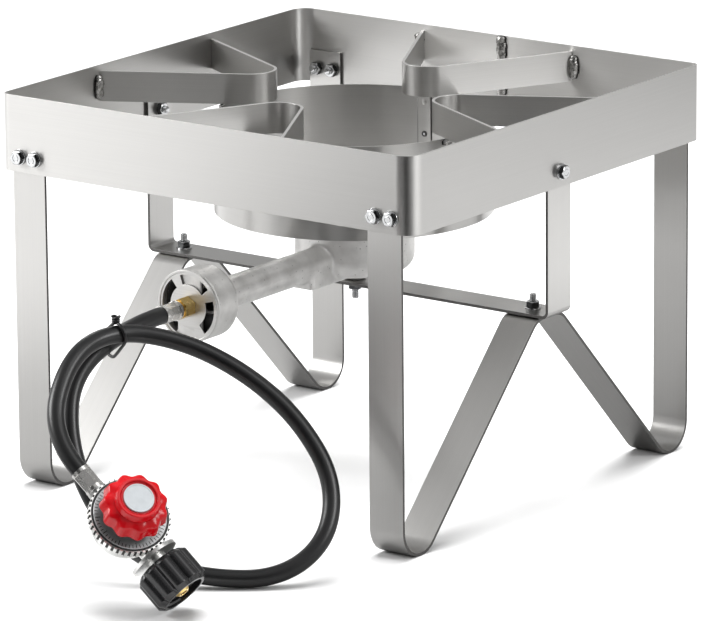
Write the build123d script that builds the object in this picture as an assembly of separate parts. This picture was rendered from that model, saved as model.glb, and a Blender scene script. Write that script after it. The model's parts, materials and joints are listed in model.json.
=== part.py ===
from build123d import *
from math import asin, atan2, cos, hypot, pi, radians, sin, tan
import os

# Millimetres, +Z up. The origin is on the ground under the burner, and the gas side is -Y.

# Square rim band, rolled from one strip of sheet
stove_width = 406.4
stove_height = 326.0
rim_height = 63.0
rim_sheet = 1.6
rim_corner = 11.0

# V-shaped pot supports, welded inside the rim on edge
support_drop = 5.0
support_height = 25.4
support_sheet = 2.5
support_half_span = 75.0
support_half_angle = 28.0
support_tip_radius = 22.0

# W-shaped leg frames bent from flat strip
leg_width = 32.0
leg_sheet = 2.5
leg_edge_gap = 0.2
leg_lap = 28.0
foot_radius = 24.0
crown_radius = 20.0
crown_height = 156.8
crown_half_span = 16.4

# U-shaped crossbar that carries the burner
crossbar_width = 32.0
crossbar_sheet = 2.5
crossbar_lap = 26.0
crossbar_bend = 6.0

# Wind guard, a rolled ring with a riveted lap seam
guard_radius = 114.3
guard_sheet = 1.0
guard_height = 77.0
guard_lap = 12.0
guard_seam_turn = 95.0
rivet_count = 3
rivet_spacing = 27.0
rivet_radius = 2.4
rivet_head_radius = 4.2
rivet_head_height = 1.6

# Fasteners
bolt_radius = 3.0
bolt_hex = 10.0
bolt_head_height = 4.0
washer_radius = 6.5
washer_sheet = 1.4
nut_height = 5.0
bolt_tail = 3.0
crown_bolt_tail = 6.0
burner_bolt_tail = 8.0
burner_bolt_depth = 9.0
leg_bolt_spacing = 16.0
bolt_rise = 12.5
hole_clearance = 0.3
thread_clearance = 0.05

# Weld beads
bead_radius = 3.2
bead_taper = 4.0
bead_length = 17.0
seam_bead_length = 22.0
seam_bead_offset = 6.0
tack_radius = 3.4

# Burner casting
tube_rise = 15.0
tube_radius = 13.0
tube_wall = 3.5
chamber_reach = 221.0
chamber_radius = 29.5
chamber_wall = 3.0
chamber_depth = 28.0
chamber_round = 5.0
web_width = 24.0
web_boss_radius = 11.0
bowl_radius = 49.0
bowl_wall = 4.0
foot_pad_height = 8.7
bowl_round = 14.0
bowl_height = 72.0
foot_pad_radius = 9.0
post_radius = 7.0
keel_width = 24.0
keel_drop = 17.5
keel_tail = 12.0
keel_end = 75.0
keel_round = 4.0

# Burner cap
cap_sheet = 5.0
cap_overhang = 3.0
cap_lip = 3.0
port_count = 20
port_width = 2.2
port_length = 13.0
cap_boss_radius = 14.0
cap_boss_height = 3.0
cap_screw_depth = 16.0

# Air shutter
shutter_sheet = 1.5
shutter_rim_width = 2.0
shutter_rim_height = 0.8
axial_clearance = 0.2
shutter_slots = 4
shutter_slot_inner = 17.5
shutter_slot_outer = 25.5
shutter_slot_span = 68.0
shutter_turn = -17.0
running_clearance = 0.06

# Orifice fitting and hose ferrules
fitting_neck_radius = 6.5
fitting_neck_length = 9.0
fitting_hex = 15.0
fitting_hex_length = 12.0
fitting_collar_radius = 6.6
fitting_collar_length = 3.0
jet_radius = 4.0
jet_length = 9.0
jet_bore = 1.0
stem_radius = 4.0
stem_clearance = 0.1
ferrule_radius = 7.8
ferrule_length = 20.0
ferrule_flats = 8
ferrule_flat_depth = 0.6
ferrule_band = 3.0

# Hose
hose_radius = 7.0
hose_lead = 45.0
hose_lead_regulator = 46.0
hose_arc_share = 0.45

# Wire tie that holds the two hose strands together
tie_first_reach = 66.0
tie_second_reach = 155.0
tie_wire_radius = 1.3
tie_wire_sides = 8
tie_clearance = 1.0
tie_twist_length = 9.0
tie_twist_radius = 2.4

# Regulator: where it lies, and how its in-line axis dips and its knob leans
regulator_x = 82.7
regulator_y = -410.9
regulator_z = 64.3
regulator_heading = 4.3
regulator_dip = 41.5
regulator_lean = 27.0
outlet_length = 35.0
outlet_radius = 8.0
base_depth = 16.0
base_round = 14.0
base_radius = 26.5
flange_radius = 29.6
flange_height = 2.5
flange_level = 9.4
ring_wall = 2.4
ring_lip = 3.2
ring_lip_sheet = 1.2
ring_teeth = 44
ring_tooth_depth = 1.2
ring_tooth_width = 2.0
ring_clearance = 0.1
bonnet_face = 3.0
bonnet_shoulder_radius = 18.0
bonnet_shoulder_height = 3.0
tower_radius = 12.0
tower_height = 12.6

# Adjusting screw and knob
screw_radius = 4.0
screw_engagement = 12.0
screw_travel = 2.0
knob_radius = 24.5
knob_skirt = 13.5
knob_lobes = 10
lobe_scoop_radius = 7.0
lobe_scoop_depth = 3.2
knob_edge_break = 1.5
knob_plateau_radius = 18.5
knob_plateau_height = 5.5
knob_plateau_taper = 2.0
knob_recess_clearance = 1.0
knob_disc_radius = 11.0
knob_disc_sheet = 1.0
knob_disc_clearance = 0.1

# Inlet nipple, sliding bushing and hand nut
inlet_radius = 8.0
inlet_length = 33.0
inlet_flange_radius = 20.0
inlet_flange_sheet = 3.0
nipple_radius = 6.5
nipple_seat = 16.0
nipple_reach = 70.0
nipple_bore = 3.0
nipple_nose_chamfer = 2.0
nipple_collar_radius = 11.0
nipple_collar_length = 3.0
seal_radius = 9.0
seal_length = 5.0
inlet_neck_radius = 8.6
bushing_wall = 2.5
bushing_inset = 2.8
bushing_travel = 3.5
bushing_flange_radius = 13.0
bushing_flange_length = 2.5
nut_start = 41.0
nut_length = 30.0
nut_radius = 23.5
nut_wall = 6.8
nut_floor = 6.0
nut_lobes = 10
groove_width = 6.0
groove_depth = 2.2
groove_end = 4.0
nut_chamfer = 4.0

# Levels and faces that the pieces share
rim_bottom = stove_height - rim_height
rim_inner = stove_width / 2 - rim_sheet
support_top = stove_height - support_drop
support_bottom = support_top - support_height
crossbar_top = crown_height + crossbar_sheet
bowl_bottom = crossbar_top + foot_pad_height
bowl_top = bowl_bottom + bowl_height
burner_height = bowl_bottom + tube_rise
guard_bottom = support_bottom - guard_height
bolt_level = rim_bottom + bolt_rise
hole_radius = bolt_radius + hole_clearance
leg_offset = rim_inner - (rim_corner - rim_sheet) - leg_edge_gap - leg_width / 2

# Places along the burner's gas line, measured outward from the burner axis
shutter_back = chamber_reach + axial_clearance
shutter_front = shutter_back + shutter_sheet
hex_start = shutter_front + axial_clearance
hex_end = hex_start + fitting_hex_length
collar_end = hex_end + fitting_collar_length
ferrule_end = collar_end + ferrule_length

# Levels along the regulator's knob axis
ring_bottom = flange_level - ring_lip_sheet
bonnet_bottom = flange_level + flange_height
bonnet_flange_top = bonnet_bottom + flange_height
bonnet_top = bonnet_bottom + bonnet_face + bonnet_shoulder_height
tower_top = bonnet_top + tower_height
knob_bottom = tower_top + screw_travel + knob_recess_clearance - knob_skirt / 2
knob_shoulder = knob_bottom + knob_skirt
knob_top = knob_shoulder + knob_plateau_height

# Places along the regulator's in-line axis
regulator_ferrule_end = outlet_length + ferrule_length
inlet_end = inlet_length + inlet_flange_sheet
nut_end = nut_start + nut_length
nut_inside = nut_start + nut_floor
bushing_seat = nut_inside + axial_clearance
bushing_end = bushing_seat + bushing_flange_length
bushing_radius = nipple_radius + bushing_wall
bushing_start = nut_start + bushing_inset
inlet_neck_end = bushing_start - bushing_travel - axial_clearance

heading = radians(regulator_heading)
dip = radians(regulator_dip)
lean = radians(regulator_lean)
in_line = Vector(cos(dip) * cos(heading), cos(dip) * sin(heading), -sin(dip))
upright = Vector(sin(dip) * cos(heading), sin(dip) * sin(heading), cos(dip))
sideways = Vector(-sin(heading), cos(heading), 0)
knob_axis = upright * cos(lean) - sideways * sin(lean)
regulator_origin = Vector(regulator_x, regulator_y, regulator_z)

# The gas line's local X runs outward from the burner, the regulator's towards its hand nut
burner_line = Plane(origin=(0, 0, burner_height), x_dir=(0, -1, 0), z_dir=(0, 0, 1))
regulator_line = Plane(origin=regulator_origin, x_dir=in_line, z_dir=knob_axis)

base_aligned = (Align.CENTER, Align.CENTER, Align.MIN)


def rod(radius, length):
    return Cylinder(radius, length, align=base_aligned)


def rod_along_x(radius, start, end):
    return Pos(start, 0, 0) * Rot(0, 90, 0) * rod(radius, end - start)


def hex_rod(across_flats, length):
    return extrude(RegularPolygon(across_flats / 2, 6, major_radius=False), length)


def hex_along_x(across_flats, start, end):
    return Pos(start, 0, 0) * Rot(0, 90, 0) * hex_rod(across_flats, end - start)


def turned(points, axis):
    return revolve(make_face(Polyline(*points, close=True)), axis)


def around(count, piece, axis=(0, 0, 1)):
    return [Rot(*(part * 360 * step / count for part in axis)) * piece for step in range(count)]


def offset_line(points, distance):
    # An open line moved to its left, with mitred corners
    spots = [Vector(point) for point in points]
    runs = [(end - start).normalized() for start, end in zip(spots, spots[1:])]
    sides = [Vector(-run.Y, run.X) for run in runs]
    corners = zip(spots, sides[:1] + sides, sides + sides[-1:])
    return [spot + (near + far) * (distance / (1 + near.dot(far))) for spot, near, far in corners]


def strip_face(points, bends, sheet):
    # The edge of a bent strip: a centre line with one bend radius for each corner
    spots = [Vector(point) for point in points]
    runs = [(end - start).normalized() for start, end in zip(spots, spots[1:])]
    turns = [1 if near.cross(far).Z > 0 else -1 for near, far in zip(runs, runs[1:])]
    left_bends = [bend - turn * sheet / 2 for bend, turn in zip(bends, turns)]
    right_bends = [bend + turn * sheet / 2 for bend, turn in zip(bends, turns)]
    left = FilletPolyline(*offset_line(points, sheet / 2), radius=left_bends)
    right = FilletPolyline(*offset_line(points, -sheet / 2), radius=right_bends)
    ends = [Line(left @ 0, right @ 0), Line(left @ 1, right @ 1)]
    return make_face([*left.edges(), *right.edges(), *ends])


def bolt_set(places, grip, tail, washer_by_nut=False):
    # Bolts, washers and nuts; each place is the joint's face on the head's side
    head_gap = 0 if washer_by_nut else washer_sheet
    nut_gap = washer_sheet - head_gap
    shank_length = head_gap + grip + nut_gap + nut_height + tail
    head = Pos(0, 0, -head_gap - bolt_head_height) * hex_rod(bolt_hex, bolt_head_height)
    bolt = head + Pos(0, 0, -head_gap) * rod(bolt_radius, shank_length)
    washer_level = grip if washer_by_nut else -washer_sheet
    washer = Pos(0, 0, washer_level) * (rod(washer_radius, washer_sheet) - rod(hole_radius, washer_sheet))
    nut_bore = rod(bolt_radius + thread_clearance, nut_height)
    nut = Pos(0, 0, grip + nut_gap) * (hex_rod(bolt_hex, nut_height) - nut_bore)
    return [[place.location * piece for place in places] for piece in (bolt, washer, nut)]


def leg_bolt_planes():
    spots = [side * leg_offset + half * leg_bolt_spacing / 2 for side in (-1, 1) for half in (-1, 1)]
    face = stove_width / 2
    return [
        Plane(origin=(spot, panel * face, bolt_level), z_dir=(0, -panel, 0))
        for panel in (-1, 1)
        for spot in spots
    ]


def crossbar_bolt_planes():
    face = stove_width / 2
    return [Plane(origin=(side * face, 0, bolt_level), z_dir=(-side, 0, 0)) for side in (-1, 1)]


def crown_bolt_planes():
    level = crown_height - leg_sheet
    return [Plane(origin=(side * leg_offset, 0, level), z_dir=(0, 0, 1)) for side in (-1, 1)]


def drill(shape, planes, depth):
    return shape - [plane.location * rod(hole_radius, depth) for plane in planes]


def rim_band():
    inner_width = 2 * rim_inner
    outline = RectangleRounded(stove_width, stove_width, rim_corner)
    opening = RectangleRounded(inner_width, inner_width, rim_corner - rim_sheet)
    band = Pos(0, 0, rim_bottom) * extrude(outline - opening, rim_height)
    return drill(band, leg_bolt_planes() + crossbar_bolt_planes(), rim_sheet)


def pot_support():
    # The front one, cut off flush with the rim's inner face
    slope = tan(radians(support_half_angle))
    bend = support_tip_radius - support_sheet / 2
    vertex = support_half_span / slope - rim_inner
    reach = support_half_span + rim_corner
    end_level = vertex - reach / slope
    line = [(-reach, end_level), (0, vertex), (reach, end_level)]
    strip = Pos(0, 0, support_bottom) * extrude(strip_face(line, [bend], support_sheet), support_height)
    inside = Pos(0, 0, support_bottom) * Box(
        2 * rim_inner, 2 * rim_inner, support_height, align=base_aligned
    )
    return strip & inside


def leg_frame(side):
    # The slope runs from the crown's corner to the foot's bend, which it touches
    foot_bend = foot_radius - leg_sheet / 2
    crown_bend = crown_radius - leg_sheet / 2
    leg_line = rim_inner - leg_sheet / 2
    leg_top = rim_bottom + leg_lap
    crown_line = crown_height - leg_sheet / 2
    across = leg_line - foot_bend - crown_half_span
    rise = crown_line - foot_radius
    splay = atan2(across, rise) - asin(foot_bend / hypot(across, rise))
    foot_vertex = foot_radius - foot_bend / tan(splay / 2)
    half = [(leg_line, leg_top), (leg_line, foot_vertex), (crown_half_span, crown_line)]
    line = half + [(-place, level) for place, level in reversed(half)]
    bends = [foot_bend, crown_bend, crown_bend, foot_bend]
    strip = extrude(Plane.YZ * strip_face(line, bends, leg_sheet), leg_width / 2, both=True)
    frame = Pos(side * leg_offset, 0, 0) * strip
    return drill(frame, leg_bolt_planes() + crown_bolt_planes(), rim_sheet + leg_sheet)


def crossbar():
    arm_line = rim_inner - crossbar_sheet / 2
    bar_line = crossbar_top - crossbar_sheet / 2
    arm_top = rim_bottom + crossbar_lap
    bend = crossbar_bend - crossbar_sheet / 2
    half = [(-arm_line, arm_top), (-arm_line, bar_line)]
    line = half + [(-across, level) for across, level in reversed(half)]
    face = Plane.XZ * strip_face(line, [bend, bend], crossbar_sheet)
    strip = extrude(face, crossbar_width / 2, both=True)
    strip = drill(strip, crossbar_bolt_planes(), rim_sheet + crossbar_sheet)
    strip = drill(strip, crown_bolt_planes(), leg_sheet + crossbar_sheet)
    return drill(strip, [burner_bolt_plane()], crossbar_sheet)


def burner_bolt_plane():
    return Plane(origin=(0, 0, crown_height), z_dir=(0, 0, 1))


def rivet_planes():
    # On the guard's outer face, pointing at the burner axis, down the middle of the lap
    seam = radians(guard_seam_turn)
    outward = Vector(cos(seam), sin(seam), 0)
    middle = guard_bottom + guard_height / 2
    levels = [middle + (step - (rivet_count - 1) / 2) * rivet_spacing for step in range(rivet_count)]
    return [Plane(origin=outward * guard_radius + Vector(0, 0, level), z_dir=-outward) for level in levels]


def wind_guard():
    inner = guard_radius - guard_sheet
    ring = Circle(guard_radius) - Circle(inner)
    lap_span = guard_lap / inner * 180 / pi
    lap = arc_slot(inner - guard_sheet, inner, lap_span)
    wall = extrude(ring + Rot(0, 0, guard_seam_turn) * lap, guard_height)
    guard = Pos(0, 0, guard_bottom) * wall
    hole = rod(rivet_radius + thread_clearance, 3 * guard_sheet)
    return guard - [plane.location * hole for plane in rivet_planes()]


def guard_rivets():
    lap_radius = guard_radius - 2 * guard_sheet
    grip = guard_radius - (lap_radius ** 2 - rivet_head_radius ** 2) ** 0.5 + thread_clearance
    head_top = rivet_head_radius - rivet_head_height
    head = Cone(rivet_head_radius, head_top, rivet_head_height, align=base_aligned)
    inner_head = Pos(0, 0, grip) * head
    outer_head = Rot(180, 0, 0) * head
    shank = rod(rivet_radius, grip)
    rivet = shank + inner_head + outer_head
    return [plane.location * rivet for plane in rivet_planes()]


def arc_slot(inner, outer, span):
    # A ring sector centred on local X
    first = radians(-span / 2)
    last = radians(span / 2)
    near = CenterArc((0, 0), inner, -span / 2, span)
    far = CenterArc((0, 0), outer, -span / 2, span)
    sides = [
        Line((inner * cos(turn), inner * sin(turn)), (outer * cos(turn), outer * sin(turn)))
        for turn in (first, last)
    ]
    return make_face([near, far, *sides])


def bead(length):
    # A run of weld on local Z with tapered ends
    straight = length - 2 * bead_taper
    end = Cone(bead_radius, bead_radius / 2, bead_taper, align=base_aligned)
    run = Pos(0, 0, -straight / 2) * rod(bead_radius, straight)
    return run + Pos(0, 0, straight / 2) * end + Pos(0, 0, -straight / 2) * Rot(180, 0, 0) * end


def weld_beads(band, supports, guard):
    slope = radians(support_half_angle)
    bead_level = (support_top + support_bottom) / 2
    corner = support_half_span + support_sheet / 2 / cos(slope) + bead_radius / 2
    end_beads = [Pos(side * corner, -rim_inner, bead_level) * bead(bead_length) for side in (-1, 1)]
    seam_levels = [stove_height - seam_bead_length / 2, support_bottom - seam_bead_length / 2]
    seams = [Pos(seam_bead_offset, rim_inner, level) * bead(seam_bead_length) for level in seam_levels]
    room = Pos(0, 0, rim_bottom) * Box(2 * rim_inner, 2 * rim_inner, rim_height, align=base_aligned)
    welded = [piece for copy in around(4, Compound(end_beads)) for piece in copy.solids()]
    metal = [band, guard, *supports]
    runs = [solid for piece in welded + seams for solid in ((piece & room) - metal).solids()]
    return runs + guard_tacks(supports, guard)


def guard_tacks(supports, guard):
    # Spots of weld on the guard's outer face, under each place where a support stands on its rim
    below = Pos(0, 0, support_bottom - tack_radius)
    room = below * (rod(guard_radius + tack_radius, tack_radius) - rod(guard_radius, tack_radius))
    tacks = []
    for support in supports:
        contacts = ((Pos(0, 0, -tack_radius) * support) & guard).solids()
        for turn in sorted(atan2(contact.center().Y, contact.center().X) for contact in contacts):
            spot = Pos(guard_radius * cos(turn), guard_radius * sin(turn), support_bottom)
            tacks += (spot * Sphere(tack_radius) & room).solids()
    return tacks


def burner_body():
    bowl = round_bottomed(0, bowl_radius, bowl_bottom, bowl_round)
    bowl += Pos(0, 0, crossbar_top) * rod(foot_pad_radius, bowl_bottom - crossbar_top)
    hollow = round_bottomed(
        post_radius, bowl_radius - bowl_wall, bowl_bottom + bowl_wall, bowl_round - bowl_wall
    )
    chamber_back = chamber_reach - chamber_depth
    bore_radius = tube_radius - tube_wall
    tube = rod_along_x(tube_radius, post_radius, chamber_back)
    chamber = rod_along_x(chamber_radius, chamber_back, chamber_reach)
    chamber = fillet(chamber.edges().filter_by(GeomType.CIRCLE).sort_by(Axis.X)[:1], chamber_round)
    mouth_back = chamber_reach - chamber_wall
    chamber_inner = chamber_radius - chamber_wall
    cavity = rod_along_x(chamber_inner, chamber_back + chamber_wall, mouth_back)
    web = Rectangle(web_width, 2 * chamber_radius) + Circle(web_boss_radius)
    mouth = Pos(mouth_back, 0, 0) * extrude(Plane.YZ * (Circle(chamber_inner) - web), chamber_wall)
    neck_hole = rod_along_x(fitting_neck_radius + thread_clearance, mouth_back, chamber_reach)
    bore = rod_along_x(bore_radius, 2 * post_radius, chamber_back + chamber_wall)
    keel_length = keel_end + keel_tail
    keel = Pos((keel_end - keel_tail) / 2, 0, -keel_drop / 2) * Box(keel_length, keel_width, keel_drop)
    keel_corners = keel.edges().filter_by(Axis.Z).sort_by(Axis.X)
    keel = fillet(keel_corners[-2:], keel_round)
    line = burner_line.location
    body = bowl + line * (tube + chamber + keel)
    body = body - hollow - line * bore - line * cavity - line * mouth - line * neck_hole
    thread_radius = bolt_radius + thread_clearance
    bolt_hole = Pos(0, 0, crossbar_top) * rod(thread_radius, burner_bolt_depth + hole_clearance)
    screw_hole = Pos(0, 0, bowl_top - cap_screw_depth) * rod(thread_radius, cap_screw_depth)
    return body - bolt_hole - screw_hole


def round_bottomed(inner, outer, bottom, round_radius):
    # A turned drum or ring up to the bowl's top, with its lower outer edge rounded
    flat = outer - round_radius
    outline = [
        Line((inner, bowl_top), (inner, bottom)),
        Line((inner, bottom), (flat, bottom)),
        JernArc((flat, bottom), (1, 0), round_radius, 90),
        Line((outer, bottom + round_radius), (outer, bowl_top)),
        Line((outer, bowl_top), (inner, bowl_top)),
    ]
    return upright_turned(outline)


def upright_turned(outline):
    # A profile of radius and level, revolved about the burner axis
    return revolve(Plane.XZ * make_face(outline), Axis.Z)


def burner_cap():
    cap_radius = bowl_radius + cap_overhang
    top = bowl_top + cap_sheet
    boss_top = top + cap_boss_height
    lip_radius = bowl_radius + ring_clearance
    profile = [
        (0, bowl_top),
        (lip_radius, bowl_top),
        (lip_radius, bowl_top - cap_lip),
        (cap_radius, bowl_top - cap_lip),
        (cap_radius, top - cap_sheet / 2),
        (cap_radius - cap_sheet / 2, top),
        (cap_boss_radius + cap_boss_height, top),
        (cap_boss_radius, boss_top),
        (0, boss_top),
    ]
    cap = revolve(Plane.XZ * make_face(Polyline(*profile, close=True)), Axis.Z)
    port_middle = bowl_radius - bowl_wall - port_length / 2
    port = Pos(port_middle, 0, bowl_top + cap_sheet / 2) * Box(port_length, port_width, cap_sheet)
    screw_hole = Pos(0, 0, bowl_top) * rod(hole_radius, cap_sheet + cap_boss_height)
    return cap - around(port_count, port) - screw_hole


def burner_cap_screw():
    head_level = bowl_top + cap_sheet + cap_boss_height
    shank_bottom = bowl_top - cap_screw_depth + hole_clearance
    shank = Pos(0, 0, shank_bottom) * rod(bolt_radius, head_level - shank_bottom)
    return shank + Pos(0, 0, head_level) * hex_rod(bolt_hex, bolt_head_height)


def burner_bolt():
    # A stud screwed into the casting, with its nut under the crossbar
    nut_level = crown_height - washer_sheet - nut_height
    stud_bottom = nut_level - burner_bolt_tail
    stud = Pos(0, 0, stud_bottom) * rod(bolt_radius, crossbar_top + burner_bolt_depth - stud_bottom)
    nut = hex_rod(bolt_hex, nut_height) - rod(bolt_radius + thread_clearance, nut_height)
    return [stud, Pos(0, 0, nut_level) * nut]


def burner_bolt_washer():
    washer = rod(washer_radius, washer_sheet) - rod(hole_radius, washer_sheet)
    return Pos(0, 0, crown_height - washer_sheet) * washer


def air_shutter():
    slot = arc_slot(shutter_slot_inner, shutter_slot_outer, shutter_slot_span)
    plate = Circle(chamber_radius) - Circle(fitting_neck_radius + running_clearance)
    plate = plate - around(shutter_slots, slot)
    disc = extrude(Plane.YZ * (Rot(0, 0, shutter_turn) * plate), shutter_sheet)
    rim = Circle(chamber_radius) - Circle(chamber_radius - shutter_rim_width)
    disc += extrude(Plane.YZ * rim, shutter_sheet + shutter_rim_height)
    return burner_line.location * (Pos(shutter_back, 0, 0) * disc)


def orifice_fitting():
    neck_start = hex_start - fitting_neck_length
    jet_start = neck_start - jet_length
    fitting = hex_along_x(fitting_hex, hex_start, hex_end)
    fitting += rod_along_x(fitting_neck_radius, neck_start, hex_start)
    fitting += rod_along_x(jet_radius, jet_start, neck_start)
    fitting += rod_along_x(fitting_collar_radius, hex_end, collar_end)
    fitting += rod_along_x(stem_radius, collar_end, ferrule_end)
    return burner_line.location * (fitting - rod_along_x(jet_bore, jet_start, neck_start))


def ferrule(start, end):
    # A sleeve crimped to flats between its two round bands
    flat_distance = ferrule_radius - ferrule_flat_depth
    flats = RegularPolygon(flat_distance, ferrule_flats, major_radius=False)
    length = end - start
    crimped = Pos(start, 0, 0) * Rot(0, 90, 0) * (extrude(flats, length) & rod(ferrule_radius, length))
    sleeve = crimped + rod_along_x(ferrule_radius, start, start + ferrule_band)
    sleeve += rod_along_x(ferrule_radius, end - ferrule_band, end)
    return sleeve - rod_along_x(stem_radius + stem_clearance, start, end)


def burner_ferrule():
    return burner_line.location * ferrule(collar_end, ferrule_end)


def regulator_ferrule():
    return regulator_line.location * ferrule(-regulator_ferrule_end, -outlet_length)


def hose_points():
    start = Vector(0, -ferrule_end, burner_height)
    end = regulator_origin - in_line * regulator_ferrule_end
    lay = [
        (-14, -352, 155),
        (0, -376, 108),
        (27, -378, 57),
        (60, -366, 22),
        (105, -344, 8.5),
        (152, -310, 7),
        (171, -272, 31),
        (158, -245, 72),
        (124, -245, 116),
        (86, -260, 150),
        (43, -284, 175),
        (5, -324, 187),
        (-8, -380, 174),
    ]
    first = start - Vector(0, hose_lead, 0)
    last = end - in_line * hose_lead_regulator
    return [start, first, *(Vector(point) for point in lay), last, end]


def hose_path():
    points = hose_points()
    runs = [far - near for near, far in zip(points, points[1:])]
    radii = []
    for before, after in zip(runs, runs[1:]):
        half_turn = radians(before.get_angle(after)) / 2
        radii.append(hose_arc_share * min(before.length, after.length) / tan(half_turn))
    print("hose radii", [round(radius) for radius in radii])
    return FilletPolyline(*points, radius=radii)


def gas_hose(path):
    hose = sweep(Plane(origin=path @ 0, z_dir=path % 0) * Circle(hose_radius), path=path)
    share = hose.volume / (pi * hose_radius ** 2 * path.length)
    print("hose length", round(path.length), "volume share", round(share, 3))
    return hose


def hose_tie(path):
    # A racetrack of wire round both strands, twisted off above them
    near = tie_first_reach / path.length
    far = 1 - tie_second_reach / path.length
    first = path.position_at(near)
    second = path.position_at(far)
    along = path.tangent_at(near) + path.tangent_at(far)
    across = second - first
    print("tie strands apart", round(across.length, 1))
    reach = hose_radius + tie_clearance + tie_wire_radius
    track = SlotCenterToCenter(across.length, 2 * reach).wire()
    section = RegularPolygon(tie_wire_radius, tie_wire_sides)
    wire = sweep(Plane(origin=track @ 0, z_dir=track % 0) * section, path=track)
    twist = Cone(tie_twist_radius, tie_wire_radius, tie_twist_length, align=base_aligned)
    twist = Pos(across.length / 2 + reach, 0, 0) * Rot(0, 90, 0) * twist
    place = Plane(origin=(first + second) / 2, x_dir=across, z_dir=along.cross(across).cross(across) * -1)
    return place.location * (wire + twist)


def regulator_base():
    floor_radius = base_radius - base_round
    outline = [
        Line((0, -base_depth), (floor_radius, -base_depth)),
        JernArc((base_radius, base_round - base_depth), (0, -1), base_round, -90),
        Line((base_radius, base_round - base_depth), (base_radius, flange_level)),
        Line((base_radius, flange_level), (flange_radius, flange_level)),
        Line((flange_radius, flange_level), (flange_radius, bonnet_bottom)),
        Line((flange_radius, bonnet_bottom), (0, bonnet_bottom)),
        Line((0, bonnet_bottom), (0, -base_depth)),
    ]
    bowl = upright_turned(outline)
    outlet = rod_along_x(outlet_radius, -outlet_length, 0)
    stem = rod_along_x(stem_radius, -regulator_ferrule_end, -outlet_length)
    inlet = rod_along_x(inlet_radius, 0, inlet_end)
    flange = rod_along_x(inlet_flange_radius, inlet_length, inlet_end)
    neck = rod_along_x(inlet_neck_radius, inlet_end, inlet_neck_end)
    seat = rod_along_x(nipple_radius + thread_clearance, inlet_end - nipple_seat, inlet_neck_end)
    return regulator_line.location * (bowl + outlet + stem + inlet + flange + neck - seat)


def crimp_ring():
    outer = flange_radius + ring_clearance + ring_wall
    inner = flange_radius + ring_clearance
    lip = flange_radius - ring_lip
    top = bonnet_flange_top + ring_lip_sheet
    profile = [
        (base_radius + ring_clearance, ring_bottom),
        (outer, ring_bottom),
        (outer, top),
        (lip, top),
        (lip, bonnet_flange_top),
        (inner, bonnet_flange_top),
        (inner, flange_level),
        (base_radius + ring_clearance, flange_level),
    ]
    ring = revolve(Plane.XZ * make_face(Polyline(*profile, close=True)), Axis.Z)
    gap = Box(2 * ring_tooth_depth, ring_tooth_width, top - ring_bottom)
    gap = Pos(outer, 0, (ring_bottom + top) / 2) * gap
    return regulator_line.location * (ring - around(ring_teeth, gap))


def regulator_bonnet():
    face = bonnet_bottom + bonnet_face
    lip = flange_radius - ring_lip - ring_clearance
    profile = [
        (0, bonnet_bottom),
        (flange_radius, bonnet_bottom),
        (flange_radius, bonnet_flange_top),
        (lip, bonnet_flange_top),
        (lip, face),
        (bonnet_shoulder_radius, face),
        (tower_radius, bonnet_top),
        (tower_radius, tower_top),
        (0, tower_top),
    ]
    bonnet = revolve(Plane.XZ * make_face(Polyline(*profile, close=True)), Axis.Z)
    bore_bottom = tower_top - screw_engagement - 2 * screw_travel
    bore = Pos(0, 0, bore_bottom) * rod(screw_radius + running_clearance, tower_top - bore_bottom)
    return regulator_line.location * (bonnet - bore)


def adjusting_screw():
    length = knob_shoulder - tower_top + screw_engagement
    return regulator_line.location * (Pos(0, 0, tower_top - screw_engagement) * rod(screw_radius, length))


def knob():
    scoop_distance = knob_radius + lobe_scoop_radius - lobe_scoop_depth
    scoop = Pos(scoop_distance, 0) * Circle(lobe_scoop_radius)
    outline = Circle(knob_radius) - around(knob_lobes, scoop)
    skirt = Pos(0, 0, knob_bottom) * extrude(outline, knob_skirt)
    skirt = chamfer(skirt.edges().group_by(Axis.Z)[-1], knob_edge_break)
    plateau_top = knob_plateau_radius - knob_plateau_taper
    plateau = Cone(knob_plateau_radius, plateau_top, knob_plateau_height, align=base_aligned)
    plateau = Pos(0, 0, knob_shoulder) * plateau
    recess_top = tower_top + screw_travel + knob_recess_clearance
    recess = Pos(0, 0, knob_bottom) * rod(tower_radius + knob_recess_clearance, recess_top - knob_bottom)
    screw_hole = Pos(0, 0, recess_top) * rod(screw_radius + running_clearance, knob_shoulder - recess_top)
    disc_radius = knob_disc_radius + knob_disc_clearance
    disc_seat = Pos(0, 0, knob_top - knob_disc_sheet) * rod(disc_radius, knob_disc_sheet)
    return regulator_line.location * (skirt + plateau - recess - screw_hole - disc_seat)


def knob_disc():
    disc = rod(knob_disc_radius, knob_disc_sheet)
    return regulator_line.location * (Pos(0, 0, knob_top - knob_disc_sheet) * disc)


def inlet_nipple():
    nose = nipple_radius - nipple_nose_chamfer
    collar_start = bushing_end + axial_clearance
    collar_stop = collar_start + nipple_collar_length
    profile = [
        (inlet_end - nipple_seat, nipple_bore),
        (inlet_end - nipple_seat, nipple_radius),
        (collar_start, nipple_radius),
        (collar_start, nipple_collar_radius),
        (collar_stop, nipple_collar_radius),
        (collar_stop, nipple_radius),
        (nipple_reach - nipple_nose_chamfer, nipple_radius),
        (nipple_reach, nose),
        (nipple_reach, nipple_bore),
    ]
    return regulator_line.location * turned(profile, Axis.X)


def nipple_seal():
    start = bushing_end + axial_clearance + nipple_collar_length
    ring = rod_along_x(seal_radius, start, start + seal_length)
    hole = rod_along_x(nipple_radius + thread_clearance, start, start + seal_length)
    return regulator_line.location * (ring - hole)


def nut_bushing():
    sleeve = rod_along_x(bushing_radius, bushing_start, bushing_seat)
    flange = rod_along_x(bushing_flange_radius, bushing_seat, bushing_end)
    hole = rod_along_x(nipple_radius + running_clearance, bushing_start, bushing_end)
    return regulator_line.location * (sleeve + flange - hole)


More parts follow.
